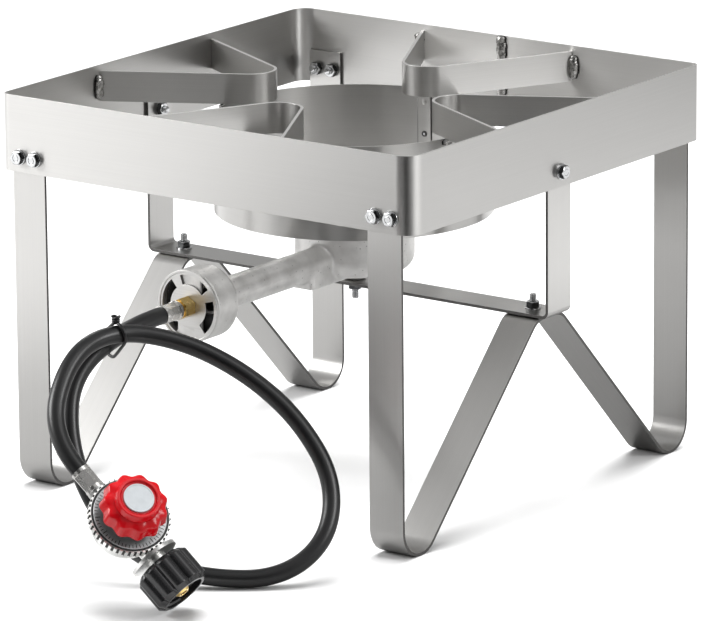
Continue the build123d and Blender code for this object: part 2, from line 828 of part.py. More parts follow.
def hand_nut():
    socket_radius = nut_radius - nut_wall
    profile = [
        (nut_start, 0),
        (nut_start, nut_radius - nut_chamfer),
        (nut_start + nut_chamfer, nut_radius),
        (nut_end - nut_chamfer, nut_radius),
        (nut_end, nut_radius - nut_chamfer),
        (nut_end, 0),
    ]
    blank = turned(profile, Axis.X)
    floor_level = nut_radius - groove_depth
    side = [
        (nut_start + groove_end, floor_level),
        (nut_end - groove_end, floor_level),
        (nut_end, nut_radius),
        (nut_start, nut_radius),
    ]
    groove = extrude(Plane.XY * make_face(Polyline(*side, close=True)), groove_width / 2, both=True)
    socket = rod_along_x(socket_radius, nut_inside, nut_end)
    hole = rod_along_x(bushing_radius + running_clearance, nut_start, nut_inside)
    return regulator_line.location * (blank - around(nut_lobes, groove, (1, 0, 0)) - socket - hole)


def build():
    band = rim_band()
    support_names = ["front", "right", "back", "left"]
    supports = around(len(support_names), pot_support())
    guard = wind_guard()
    path = hose_path()
    nodes = {f"pot_support_{name}": support for name, support in zip(support_names, supports)}
    nodes["rim_band"] = band
    nodes["wind_guard"] = guard
    nodes["guard_rivets"] = guard_rivets()
    nodes["weld_beads"] = weld_beads(band, supports, guard)
    nodes["leg_frame_left"] = leg_frame(-1)
    nodes["leg_frame_right"] = leg_frame(1)
    nodes["crossbar"] = crossbar()
    leg_grip = rim_sheet + leg_sheet
    side_grip = rim_sheet + crossbar_sheet
    crown_grip = leg_sheet + crossbar_sheet
    sets = {
        "leg": bolt_set(leg_bolt_planes(), leg_grip, bolt_tail),
        "crossbar": bolt_set(crossbar_bolt_planes(), side_grip, bolt_tail),
        "crown": bolt_set(crown_bolt_planes(), crown_grip, crown_bolt_tail, washer_by_nut=True),
    }
    for name, pieces in sets.items():
        for kind, copies in zip(("bolts", "washers", "nuts"), pieces):
            nodes[f"{name}_{kind}"] = copies
    nodes["burner_body"] = burner_body()
    nodes["burner_cap"] = burner_cap()
    nodes["burner_cap_screw"] = burner_cap_screw()
    nodes["burner_bolt"] = burner_bolt()
    nodes["burner_bolt_washer"] = burner_bolt_washer()
    nodes["air_shutter"] = air_shutter()
    nodes["orifice_fitting"] = orifice_fitting()
    nodes["burner_ferrule"] = burner_ferrule()
    nodes["gas_hose"] = gas_hose(path)
    nodes["hose_tie"] = hose_tie(path)
    nodes["regulator_ferrule"] = regulator_ferrule()
    nodes["regulator_base"] = regulator_base()
    nodes["crimp_ring"] = crimp_ring()
    nodes["regulator_bonnet"] = regulator_bonnet()
    nodes["adjusting_screw"] = adjusting_screw()
    nodes["knob"] = knob()
    nodes["knob_disc"] = knob_disc()
    nodes["inlet_nipple"] = inlet_nipple()
    nodes["nipple_seal"] = nipple_seal()
    nodes["nut_bushing"] = nut_bushing()
    nodes["hand_nut"] = hand_nut()
    return nodes


os.makedirs("parts", exist_ok=True)
for node, shape in build().items():
    solids = Compound(shape) if isinstance(shape, list) else shape
    export_step(solids, f"parts/{node}.step")
    print(node)
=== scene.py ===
import bmesh
import bpy
import json
import math
from mathutils import Matrix, Vector, noise


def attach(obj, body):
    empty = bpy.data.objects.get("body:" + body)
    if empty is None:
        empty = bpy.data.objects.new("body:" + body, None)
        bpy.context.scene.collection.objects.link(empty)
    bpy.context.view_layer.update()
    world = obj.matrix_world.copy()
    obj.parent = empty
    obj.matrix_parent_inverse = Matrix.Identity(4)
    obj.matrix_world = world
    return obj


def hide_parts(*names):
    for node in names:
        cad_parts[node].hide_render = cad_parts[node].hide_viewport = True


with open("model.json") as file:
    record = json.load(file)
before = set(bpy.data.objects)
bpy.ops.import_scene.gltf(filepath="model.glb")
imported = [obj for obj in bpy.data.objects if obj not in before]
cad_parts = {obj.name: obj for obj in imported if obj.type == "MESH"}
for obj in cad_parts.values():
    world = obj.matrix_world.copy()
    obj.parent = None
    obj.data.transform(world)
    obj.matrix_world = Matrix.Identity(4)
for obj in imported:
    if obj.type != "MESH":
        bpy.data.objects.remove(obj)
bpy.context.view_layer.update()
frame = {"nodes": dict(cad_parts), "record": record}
nodes = frame["nodes"]
scene = bpy.context.scene
mm = 0.001
bodyOf = {node: body for body, names in frame["record"]["behaviour"]["bodies"].items() for node in names}


# Materials

def linear(hexColour):
    parts = [int(hexColour[i:i + 2], 16) / 255 for i in (0, 2, 4)]
    return tuple(c / 12.92 if c <= 0.04045 else ((c + 0.055) / 1.055) ** 2.4 for c in parts) + (1.0,)


def addNode(tree, kind, values={}, links={}, feeds={}, **settings):
    node = tree.nodes.new(kind)
    for name, value in settings.items():
        setattr(node, name, value)
    for socket, value in values.items():
        node.inputs[socket].default_value = value
    for socket, source in links.items():
        tree.links.new(source, node.inputs[socket])
    for output, target in feeds.items():
        tree.links.new(node.outputs[output], target)
    return node.outputs


def newMaterial(name, values):
    material = bpy.data.materials.new(name)
    material.use_nodes = True
    tree = material.node_tree
    shader = tree.nodes["Principled BSDF"].inputs
    for socket, value in values.items():
        shader[socket].default_value = value
    where = addNode(tree, "ShaderNodeTexCoord")["Object"]
    return material, tree, shader, where


def satinStainless(name, across, dark, light, drawnOut):
    # 430 stainless sheet with a satin belt grind: long fine lines along the strip and soft reflections
    # drawn out across them. The lines are coarser than the grit's own, so that they show
    grind = {"lineMm": 0.6, "lineLengthMm": 240, "cloudMm": 120}
    material, tree, shader, where = newMaterial(
        name, {"Metallic": 1.0, "Anisotropic": drawnOut, "Anisotropic Rotation": 0.25})
    scale = [1000 / grind["lineLengthMm"]] * 3
    scale["XYZ".index(across)] = 1000 / grind["lineMm"]
    drawn = addNode(tree, "ShaderNodeMapping", {"Scale": scale}, {"Vector": where})["Vector"]
    lines = addNode(tree, "ShaderNodeTexNoise", {"Scale": 1.0, "Detail": 4.0, "Roughness": 0.65},
                    {"Vector": drawn})["Fac"]
    cloud = addNode(tree, "ShaderNodeTexNoise", {"Scale": 1000 / grind["cloudMm"], "Detail": 2.0},
                    {"Vector": where})["Fac"]
    both = addNode(tree, "ShaderNodeMath", {}, {0: lines, 1: cloud}, operation="MULTIPLY")[0]
    addNode(tree, "ShaderNodeMix", {6: linear(dark), 7: linear(light)}, {0: lines},
            {2: shader["Base Color"]}, data_type="RGBA")
    addNode(tree, "ShaderNodeMapRange", {"From Max": 0.5, "To Min": 0.29, "To Max": 0.36}, {"Value": both},
            {"Result": shader["Roughness"]})
    addNode(tree, "ShaderNodeBump", {"Strength": 0.04, "Distance": 0.00003}, {"Height": lines},
            {"Normal": shader["Normal"]})
    addNode(tree, "ShaderNodeTangent", feeds={"Tangent": shader["Tangent"]},
            direction_type="RADIAL", axis=across)
    return material


def paintedEdgeTone(name, dark, light):
    # Edge of the same sheet: torn grey grain; the dark copy is painted shade over the sheared grain and the
    # pale copy is painted highlight
    material, tree, shader, where = newMaterial(name, {"Metallic": 1.0, "Roughness": 0.5})
    torn = {"Scale": 1000 / 1.2, "Detail": 2.0}
    grain = addNode(tree, "ShaderNodeTexNoise", torn, {"Vector": where})["Fac"]
    addNode(tree, "ShaderNodeMix", {6: linear(dark), 7: linear(light)}, {0: grain},
            {2: shader["Base Color"]}, data_type="RGBA")
    return material


def brightZinc(name, dark, light):
    # Bright zinc plate on steel fasteners: bluish white with cloudy gloss; the darker copy on the hex flats
    # is painted shade
    material, tree, shader, where = newMaterial(name, {"Metallic": 1.0})
    cloud = addNode(tree, "ShaderNodeTexNoise", {"Scale": 1000 / 3, "Detail": 2.0}, {"Vector": where})["Fac"]
    addNode(tree, "ShaderNodeMix", {6: linear(dark), 7: linear(light)}, {0: cloud},
            {2: shader["Base Color"]}, data_type="RGBA")
    addNode(tree, "ShaderNodeMapRange", {"To Min": 0.14, "To Max": 0.24}, {"Value": cloud},
            {"Result": shader["Roughness"]})
    return material


def weldMetal():
    # Unground weld: bright glossy crests, darker towards the foot along the sheet
    material, tree, shader, where = newMaterial("ungroundWeld", {"Metallic": 1.0})
    crest = addNode(tree, "ShaderNodeAttribute", attribute_name="crest")["Fac"]
    skin = addNode(tree, "ShaderNodeTexNoise", {"Scale": 1000 / 3.5, "Detail": 3.0}, {"Vector": where})["Fac"]
    rise = addNode(tree, "ShaderNodeMapRange", {"From Min": 0.15, "From Max": 0.7}, {"Value": crest})
    tone = addNode(tree, "ShaderNodeMix", {6: linear("6f6e6c"), 7: linear("d0cfcc")}, {0: skin},
                   data_type="RGBA")
    addNode(tree, "ShaderNodeMix", {6: linear("1d1c1b")}, {0: rise["Result"], 7: tone[2]},
            {2: shader["Base Color"]}, data_type="RGBA")
    addNode(tree, "ShaderNodeMapRange", {"To Min": 0.12, "To Max": 0.36}, {"Value": skin},
            {"Result": shader["Roughness"]})
    addNode(tree, "ShaderNodeBump", {"Strength": 0.7, "Distance": 0.0008}, {"Height": skin},
            {"Normal": shader["Normal"]})
    return material


def castAluminium():
    # Sand-cast aluminium, tumbled: pale and mottled, with sand grain, small pits and the mould's parting line
    sand = {"grainMm": 0.9, "stainMm": 14, "pitMm": 5, "partingMm": 183.0, "ridgeMm": 0.5}
    material, tree, shader, where = newMaterial("tumbledCastAluminium", {"Metallic": 0.9})
    grain = addNode(tree, "ShaderNodeTexNoise", {"Scale": 1000 / sand["grainMm"], "Detail": 3.0},
                    {"Vector": where})["Fac"]
    stain = addNode(tree, "ShaderNodeTexNoise", {"Scale": 1000 / sand["stainMm"], "Detail": 5.0},
                    {"Vector": where})["Fac"]
    pits = addNode(tree, "ShaderNodeTexVoronoi", {"Scale": 1000 / sand["pitMm"]}, {"Vector": where})
    depth = addNode(tree, "ShaderNodeMapRange", {"From Min": 0.02, "From Max": 0.14},
                    {"Value": pits["Distance"]})
    level = addNode(tree, "ShaderNodeSeparateXYZ", {}, {"Vector": where})
    ridge = addNode(tree, "ShaderNodeMath", {1: sand["partingMm"] * mm, 2: sand["ridgeMm"] * mm},
                    {0: level["Z"]}, operation="COMPARE")
    tone = addNode(tree, "ShaderNodeMix", {6: linear("b0afad"), 7: linear("f2f1ef")}, {0: stain},
                   data_type="RGBA")
    addNode(tree, "ShaderNodeMix", {6: linear("8a8987")}, {0: depth["Result"], 7: tone[2]},
            {2: shader["Base Color"]}, data_type="RGBA")
    addNode(tree, "ShaderNodeMapRange", {"To Min": 0.38, "To Max": 0.56}, {"Value": stain},
            {"Result": shader["Roughness"]})
    sanded = addNode(tree, "ShaderNodeMath", {1: 0.5}, {0: grain, 2: depth["Result"]},
                     operation="MULTIPLY_ADD")
    height = addNode(tree, "ShaderNodeMath", {1: 2.0}, {0: ridge[0], 2: sanded[0]},
                     operation="MULTIPLY_ADD")
    addNode(tree, "ShaderNodeBump", {"Strength": 0.4, "Distance": 0.00015}, {"Height": height[0]},
            {"Normal": shader["Normal"]})
    return material


def flashedZinc():
    # Zinc-flashed steel blank: nearly white satin with faint rolling lines
    material, tree, shader, where = newMaterial("zincFlashedSteel", {"Metallic": 1.0})
    roll = {"lineMm": 1.2, "lineLengthMm": 33}
    scale = (1000 / roll["lineLengthMm"], 1000 / roll["lineLengthMm"], 1000 / roll["lineMm"])
    drawn = addNode(tree, "ShaderNodeMapping", {"Scale": scale}, {"Vector": where})["Vector"]
    lines = addNode(tree, "ShaderNodeTexNoise", {"Scale": 1.0, "Detail": 3.0}, {"Vector": drawn})["Fac"]
    addNode(tree, "ShaderNodeMix", {6: linear("c4c3c1"), 7: linear("dddcda")}, {0: lines},
            {2: shader["Base Color"]}, data_type="RGBA")
    addNode(tree, "ShaderNodeMapRange", {"To Min": 0.32, "To Max": 0.46}, {"Value": lines},
            {"Result": shader["Roughness"]})
    return material


def turnedBrass():
    # Free-cutting brass off the lathe: warm yellow gloss with a little tarnish
    material, tree, shader, where = newMaterial("turnedBrass", {"Metallic": 1.0})
    stain = addNode(tree, "ShaderNodeTexNoise", {"Scale": 1000 / 4, "Detail": 4.0}, {"Vector": where})["Fac"]
    addNode(tree, "ShaderNodeMix", {6: linear("d8ac50"), 7: linear("fae2a0")}, {0: stain},
            {2: shader["Base Color"]}, data_type="RGBA")
    addNode(tree, "ShaderNodeMapRange", {"To Min": 0.16, "To Max": 0.34}, {"Value": stain},
            {"Result": shader["Roughness"]})
    return material


def nickelPlate():
    # Bright nickel on the crimped sleeves: near mirror, faintly clouded
    material, tree, shader, where = newMaterial("brightNickelPlate", {"Metallic": 1.0})
    cloud = addNode(tree, "ShaderNodeTexNoise", {"Scale": 1000 / 2, "Detail": 2.0}, {"Vector": where})["Fac"]
    addNode(tree, "ShaderNodeMix", {6: linear("dcdad7"), 7: linear("eeedea")}, {0: cloud},
            {2: shader["Base Color"]}, data_type="RGBA")
    addNode(tree, "ShaderNodeMapRange", {"To Min": 0.22, "To Max": 0.3}, {"Value": cloud},
            {"Result": shader["Roughness"]})
    return material


def dieCastZinc(name, dark, light, gloss):
    # Die-cast zinc, vibratory finished: grey with a soft gloss and faint orange peel
    material, tree, shader, where = newMaterial(name, {"Metallic": 1.0})
    peel = addNode(tree, "ShaderNodeTexNoise", {"Scale": 1000 / 1.4, "Detail": 2.0}, {"Vector": where})["Fac"]
    cloud = addNode(tree, "ShaderNodeTexNoise", {"Scale": 1000 / 12, "Detail": 3.0}, {"Vector": where})["Fac"]
    addNode(tree, "ShaderNodeMix", {6: linear(dark), 7: linear(light)}, {0: cloud},
            {2: shader["Base Color"]}, data_type="RGBA")
    addNode(tree, "ShaderNodeMapRange", {"To Min": gloss, "To Max": gloss + 0.16},
            {"Value": cloud}, {"Result": shader["Roughness"]})
    addNode(tree, "ShaderNodeBump", {"Strength": 0.1, "Distance": 0.00006}, {"Height": peel},
            {"Normal": shader["Normal"]})
    return material


def nitrileRubber():
    # Extruded nitrile hose cover: black, semi-gloss, with faint bloom
    material, tree, shader, where = newMaterial("extrudedNitrile", {"IOR": 1.52})
    bloom = addNode(tree, "ShaderNodeTexNoise", {"Scale": 1000 / 24, "Detail": 5.0}, {"Vector": where})["Fac"]
    skin = addNode(tree, "ShaderNodeTexNoise", {"Scale": 1000 / 0.8, "Detail": 2.0}, {"Vector": where})["Fac"]
    addNode(tree, "ShaderNodeMix", {6: linear("050506"), 7: linear("0f0f10")}, {0: bloom},
            {2: shader["Base Color"]}, data_type="RGBA")
    addNode(tree, "ShaderNodeMapRange", {"To Min": 0.3, "To Max": 0.42}, {"Value": bloom},
            {"Result": shader["Roughness"]})
    addNode(tree, "ShaderNodeBump", {"Strength": 0.2, "Distance": 0.00005}, {"Height": skin},
            {"Normal": shader["Normal"]})
    return material


def blackPolymer(name, dark, light, rough, grainMm):
    # Moulded nylon, vinyl or paint: black with a fine spark-eroded grain
    material, tree, shader, where = newMaterial(name, {"IOR": 1.5})
    grain = addNode(tree, "ShaderNodeTexNoise", {"Scale": 1000 / grainMm, "Detail": 3.0},
                    {"Vector": where})["Fac"]
    addNode(tree, "ShaderNodeMix", {6: linear(dark), 7: linear(light)}, {0: grain},
            {2: shader["Base Color"]}, data_type="RGBA")
    addNode(tree, "ShaderNodeMapRange", {"To Min": rough - 0.07, "To Max": rough + 0.09},
            {"Value": grain}, {"Result": shader["Roughness"]})
    addNode(tree, "ShaderNodeBump", {"Strength": 0.25, "Distance": 0.00008}, {"Height": grain},
            {"Normal": shader["Normal"]})
    return material


def glossRedAbs():
    # Injection-moulded ABS: saturated red with a polished-mould gloss and faint flow marks
    material, tree, shader, where = newMaterial("glossRedAbs", {"IOR": 1.54, "Specular IOR Level": 0.28})
    flow = addNode(tree, "ShaderNodeTexNoise", {"Scale": 1000 / 12, "Detail": 3.0}, {"Vector": where})["Fac"]
    addNode(tree, "ShaderNodeMix", {6: linear("920009"), 7: linear("b50410")}, {0: flow},
            {2: shader["Base Color"]}, data_type="RGBA")
    addNode(tree, "ShaderNodeMapRange", {"To Min": 0.14, "To Max": 0.26}, {"Value": flow},
            {"Result": shader["Roughness"]})
    return material


def paleInsert():
    # Plain polyester insert: pale cool grey, soft gloss
    material, tree, shader, where = newMaterial("paleInsert", {"IOR": 1.5, "Roughness": 0.34})
    tone = addNode(tree, "ShaderNodeTexNoise", {"Scale": 1000 / 5, "Detail": 2.0}, {"Vector": where})["Fac"]
    addNode(tree, "ShaderNodeMix", {6: linear("9a9ea1"), 7: linear("abafb2")}, {0: tone},
            {2: shader["Base Color"]}, data_type="RGBA")
    return material


rimSteel = satinStainless("satinStainlessRim", "Z", "bab9b7", "c6c5c3", 0.7)
# The guard's copy of the same steel is a little darker: painted shade for its place inside the rim
guardSteelPaintedShade = satinStainless("satinStainlessGuardPaintedShade", "Z", "b0afad", "bcbbb9", 0.7)
legSteel = satinStainless("satinStainlessLegs", "X", "bab9b7", "c6c5c3", 0.0)
barSteel = satinStainless("satinStainlessCrossbar", "Y", "bab9b7", "c6c5c3", 0.0)
# Dark edge tone: painted shade on the sheet edges of legs and crossbar, on the rivet rings and along the
# guard's lap
darkEdgePaintedShade = paintedEdgeTone("darkStainlessEdgePaintedShade", "4c4b4a", "767574")
# Pale edge tone: painted highlight along the top and bottom edges of rim, supports and guard
paleEdgePaintedHighlight = paintedEdgeTone("paleStainlessEdgePaintedHighlight", "dcdbd9", "f0efed")
zinc = brightZinc("brightZincPlate", "b4b5b6", "d0d1d2")
# Dark zinc for the hex flats: painted shade, the flats are the same plate as the rest
zincFlatsPaintedShade = brightZinc("zincOnFlatsPaintedDark", "343536", "545556")
weld = weldMetal()
cast = castAluminium()
discSteel = flashedZinc()
brass = turnedBrass()
nickel = nickelPlate()
bodyZinc = dieCastZinc("dieCastZinc", "c0c0be", "e2e2e0", 0.24)
ringSteel = dieCastZinc("tumbledRingSteel", "d4d4d2", "f2f2f0", 0.24)
dialZinc = dieCastZinc("dieCastZincDial", "b8b9ba", "d4d5d6", 0.36)
tickPaint = blackPolymer("blackTickPaint", "19191a", "2a2a2b", 0.5, 0.8)
hoseBlack = nitrileRubber()
nutBlack = blackPolymer("mouldedBlackNylon", "111112", "1c1c1d", 0.24, 0.6)
# Flat black for painted shade: in the air chamber, in the crimp ring's gaps and under the knob
paintedShadeBlack = blackPolymer("blackPaintedShade", "161514", "242322", 0.6, 2.0)
tieBlack = blackPolymer("blackVinyl", "0a0a0b", "151516", 0.32, 0.9)
red = glossRedAbs()
pale = paleInsert()
print("materials made")


# Mesh tools

def settle(bm, name, node, material, body=None, smoothDeg=35):
    bmesh.ops.recalc_face_normals(bm, faces=bm.faces)
    for face in bm.faces:
        face.smooth = True
    for edge in bm.edges:
        edge.smooth = edge.calc_face_angle(0) < math.radians(smoothDeg)
    mesh = bpy.data.meshes.new(name)
    bm.to_mesh(mesh)
    bm.free()
    mesh.materials.append(material)
    piece = bpy.data.objects.new(name, mesh)
    scene.collection.objects.link(piece)
    if node:
        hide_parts(node)
    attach(piece, body or bodyOf[node])
    return piece


def softEdges(piece, widthMm, segments=2, fromDeg=32):
    bevel = piece.modifiers.new("edgeBreak", "BEVEL")
    bevel.width = widthMm * mm
    bevel.segments = segments
    bevel.limit_method = "ANGLE"
    bevel.angle_limit = math.radians(fromDeg)
    bevel.harden_normals = True
    return piece


facets = {"weldMm": 0.005, "flatDeg": 0.5}  # CAD points nearer than this are one, flatter facets are joined


def cadCopy(node):
    bm = bmesh.new()
    bm.from_mesh(nodes[node].data)
    bmesh.ops.remove_doubles(bm, verts=bm.verts, dist=facets["weldMm"] * mm)
    bmesh.ops.dissolve_limit(bm, angle_limit=math.radians(facets["flatDeg"]), verts=bm.verts, edges=bm.edges)
    return bm


def markEdges(bm, axis):  # faces along the axis take the second material
    bm.normal_update()
    for face in bm.faces:
        face.material_index = int(abs(face.normal["XYZ".index(axis)]) > 0.9)


def vertsIn(grown):
    return [item for item in grown if isinstance(item, bmesh.types.BMVert)]


def topFace(faces):
    return max(faces, key=lambda face: face.calc_center_median().z)


def raiseCap(bm, cap, closesBottom):
    # An extruded face stays behind, so it is deleted unless it closes the bottom
    grown = bmesh.ops.extrude_face_region(bm, geom=[cap])["geom"]
    if not closesBottom:
        bmesh.ops.delete(bm, geom=[cap], context="FACES_ONLY")
    return next(item for item in grown if isinstance(item, bmesh.types.BMFace)), vertsIn(grown)


def aimed(originMm, direction):  # a place whose Z runs along direction
    turn = Vector(direction).to_track_quat("Z", "Y").to_matrix().to_4x4()
    return Matrix.Translation(Vector(originMm) * mm) @ turn


# CAD pieces that keep their form and get broken edges

regulator = {"originMm": (82.7, -410.9, 64.3), "headingDeg": 4.3, "dipDeg": 41.5, "leanDeg": 27.0}


def regulatorPlace():
    heading, dip, lean = (math.radians(regulator[name]) for name in ("headingDeg", "dipDeg", "leanDeg"))
    turned = Matrix.Rotation(heading, 4, "Z") @ Matrix.Rotation(dip, 4, "Y") @ Matrix.Rotation(lean, 4, "X")
    return Matrix.Translation(Vector(regulator["originMm"]) * mm) @ turned @ Matrix.Scale(mm, 4)


onRegulator = regulatorPlace()  # millimetres in the regulator's own frame to metres

carried = {  # edge radius in mm, finish, the axis that the sheet's edges face and the edges' tone: painted shade on legs and crossbar, painted highlight on supports and guard
    **{"pot_support_" + side: (0.2, rimSteel, "Z", paleEdgePaintedHighlight)
       for side in ("front", "right", "back", "left")},
    "wind_guard": (0.25, guardSteelPaintedShade, "Z", paleEdgePaintedHighlight),
    **{"leg_frame_" + side: (0.5, legSteel, "X", darkEdgePaintedShade) for side in ("left", "right")},
    "crossbar": (0.5, barSteel, "Y", darkEdgePaintedShade),
    "burner_cap": (0.7, cast),
    "air_shutter": (0.25, discSteel),
    "orifice_fitting": (0.5, brass),
    "inlet_nipple": (0.5, brass),
    "burner_ferrule": (0.35, nickel),
    "regulator_ferrule": (0.35, nickel),
    "regulator_base": (0.6, bodyZinc),
    "regulator_bonnet": (0.2, dialZinc),
    "adjusting_screw": (0.2, zinc),
    "nipple_seal": (0.6, nutBlack),
    "nut_bushing": (0.3, nutBlack),
}
shutter = {"backMm": -221.9, "thinnedMm": 0.55}  # the plate stands off the chamber, which leaves a dark line
dressed = {}
for node, (edge, material, *sheared) in carried.items():
    bm = cadCopy(node)
    if node == "air_shutter":
        back = [vert for vert in bm.verts if vert.co.y > shutter["backMm"] * mm]
        bmesh.ops.translate(bm, vec=(0, -shutter["thinnedMm"] * mm, 0), verts=back)
    if sheared:
        markEdges(bm, sheared[0])
    dressed[node] = softEdges(settle(bm, node + ".edged", node, material, smoothDeg=32), edge)
    for finish in sheared[1:]:
        dressed[node].data.materials.append(finish)

rimStyle = {"halfMm": 203.2, "cornersMm": (9.0, 15.0), "levelsMm": (263.0, 326.0), "sheetMm": 1.6,
            "edgeMm": 0.15}
bm = bmesh.new()
corners = bmesh.ops.create_grid(bm, x_segments=1, y_segments=1, size=rimStyle["halfMm"] * mm)["verts"]
# The side corners are folded tighter than front and back
for radius, sign in zip(rimStyle["cornersMm"], (1, -1)):
    pair = [vert for vert in corners if vert.is_valid and vert.co.x * vert.co.y * sign > 0]
    bmesh.ops.bevel(bm, geom=pair, offset=radius * mm, offset_type="OFFSET", affect="VERTICES", segments=24,
                    profile=0.5, material=-1)
bmesh.ops.delete(bm, geom=bm.faces, context="FACES_ONLY")
bmesh.ops.translate(bm, vec=(0, 0, rimStyle["levelsMm"][0] * mm), verts=bm.verts)
high = vertsIn(bmesh.ops.extrude_edge_only(bm, edges=bm.edges)["geom"])
bmesh.ops.translate(bm, vec=(0, 0, (rimStyle["levelsMm"][1] - rimStyle["levelsMm"][0]) * mm), verts=high)
bmesh.ops.recalc_face_normals(bm, faces=bm.faces)
bmesh.ops.solidify(bm, geom=bm.faces, thickness=rimStyle["sheetMm"] * mm)
markEdges(bm, "Z")
piece = settle(bm, "rimBand", "rim_band", rimSteel, smoothDeg=32)
# The rim's top and bottom edges take the pale edge tone, a painted highlight
piece.data.materials.append(paleEdgePaintedHighlight)
dressed["rim_band"] = softEdges(piece, rimStyle["edgeMm"])

crimp = {"gapMm": (30.5, 31.7), "edgeMm": 0.25}  # the gaps between the ring's teeth take painted shade
bm = cadCopy("crimp_ring")
fromRegulator = onRegulator.inverted()
for face in bm.faces:
    spot = fromRegulator @ face.calc_center_median()
    face.material_index = int(crimp["gapMm"][0] < spot.xy.length < crimp["gapMm"][1])
piece = settle(bm, "crimpRing", "crimp_ring", ringSteel, smoothDeg=32)
piece.data.materials.append(paintedShadeBlack)
dressed["crimp_ring"] = softEdges(piece, crimp["edgeMm"])
print("edges broken on", len(dressed), "pieces")


# Burner casting: one soft skin, so that tube, keel and bowl run into each other with cast fillets

casting = {"skinMm": 1.3, "rounds": 3}
body = settle(cadCopy("burner_body"), "burnerCasting", "burner_body", cast, smoothDeg=180)
skin = body.modifiers.new("castSkin", "REMESH")
skin.mode = "VOXEL"
skin.voxel_size = casting["skinMm"] * mm
skin.use_smooth_shade = True
worn = body.modifiers.new("castFillets", "SMOOTH")
worn.factor = 0.5
worn.iterations = casting["rounds"]
dressed["burner_body"] = body

# A black cup inside the air chamber: painted shade seen through the shutter's slots
shadeCupStyle = {"radiusMm": 25.4, "mouthMm": -217.2, "backMm": -197.8, "boreMm": 12.0, "levelMm": 183.0,
          "cupWallMm": 0.3}
bm = bmesh.new()
course = [(shadeCupStyle["radiusMm"], shadeCupStyle["mouthMm"]), (shadeCupStyle["radiusMm"], shadeCupStyle["backMm"]),
          (shadeCupStyle["boreMm"], shadeCupStyle["backMm"])]
profile = [bm.verts.new(Vector((reach, along, shadeCupStyle["levelMm"])) * mm) for reach, along in course]
walls = [bm.edges.new(pair) for pair in zip(profile, profile[1:])]
bmesh.ops.spin(bm, geom=profile + walls, axis=(0, 1, 0), cent=(0, 0, shadeCupStyle["levelMm"] * mm),
               angle=2 * math.pi, steps=64, use_merge=True)
shadeCup = settle(bm, "chamberPaintedShadeCup", None, paintedShadeBlack, "stove")
thick = shadeCup.modifiers.new("shadeCupWall", "SOLIDIFY")
thick.thickness = shadeCupStyle["cupWallMm"] * mm
print("burner cast")


# Fasteners

bolts = {
    "flatsMm": 10.0, "landShare": 0.95, "headMm": 3.98, "nutMm": 5.0, "washerMm": 6.5, "washerThickMm": 1.4,
    "forgedShare": 0.35, "forgedMm": 0.3, "forgedDeepMm": 0.15, "wornMm": 0.25,
    "shankMm": 3.0, "coreMm": 2.5, "pitchMm": 1.2, "cutMm": 0.6, "ridgeShare": 0.95, "leadMm": 0.2,
    "levelMm": 275.5, "faceMm": 203.2, "legMm": 176.0, "halfSpacingMm": 8.0, "crownMm": 154.3,
    "sheetMm": 1.6, "stripMm": 2.5, "tailMm": 3.0, "crownTailMm": 6.0,
}


def addHex(bm, place, start, height):
    # Hexagon whose corners are turned off at 30 degrees; its flats take the second material, painted shade
    before = set(bm.verts)
    flat = bolts["flatsMm"] / 2
    land = flat * bolts["landShare"]
    ring = bmesh.ops.create_circle(bm, cap_ends=True, segments=48, radius=land)["verts"]
    foot = cap = ring[0].link_faces[0]
    for level, lift in ((0, 1), (height, -1), (height, 0)):
        cap, ring = raiseCap(bm, cap, cap == foot)
        for vert in ring:
            turn = math.atan2(vert.co.y, vert.co.x)
            reach = flat / math.cos(turn % (math.pi / 3) - math.pi / 6) if lift else land
            rise = lift * (reach - land) * math.tan(math.pi / 6)
            vert.co = Vector((math.cos(turn) * reach, math.sin(turn) * reach, level + rise))
    faces = [face for face in bm.faces if not before.intersection(face.verts)]
    bmesh.ops.recalc_face_normals(bm, faces=faces)
    for face in faces:
        face.material_index = int(abs(face.normal.z) < 0.3)
    # Forged ring in the start face
    wide, deep = bolts["forgedMm"], bolts["forgedDeepMm"]
    for inward, lift in ((flat * bolts["forgedShare"], 0), (wide, -deep), (wide, deep)):
        bmesh.ops.inset_region(bm, faces=[foot], thickness=inward, depth=lift)
    made = [vert for vert in bm.verts if vert not in before]
    bottom = Matrix.Translation((0, 0, start))
    bmesh.ops.transform(bm, matrix=place @ Matrix.Scale(mm, 4) @ bottom, verts=made)


def addDisc(bm, place, start, height, radius):
    made = bmesh.ops.create_cone(bm, cap_ends=True, segments=40, radius1=radius, radius2=radius,
                                 depth=height)["verts"]
    rims = {edge for vert in made for edge in vert.link_edges if edge.verts[0].co.z * edge.verts[1].co.z > 0}
    worn = bmesh.ops.bevel(bm, geom=list(rims), offset=bolts["wornMm"], offset_type="OFFSET", affect="EDGES",
                           segments=2, profile=0.5, material=-1)
    verts = list({vert for vert in made if vert.is_valid} | set(worn["verts"]))
    middle = Matrix.Translation((0, 0, start + height / 2))
    bmesh.ops.transform(bm, matrix=place @ Matrix.Scale(mm, 4) @ middle, verts=verts)


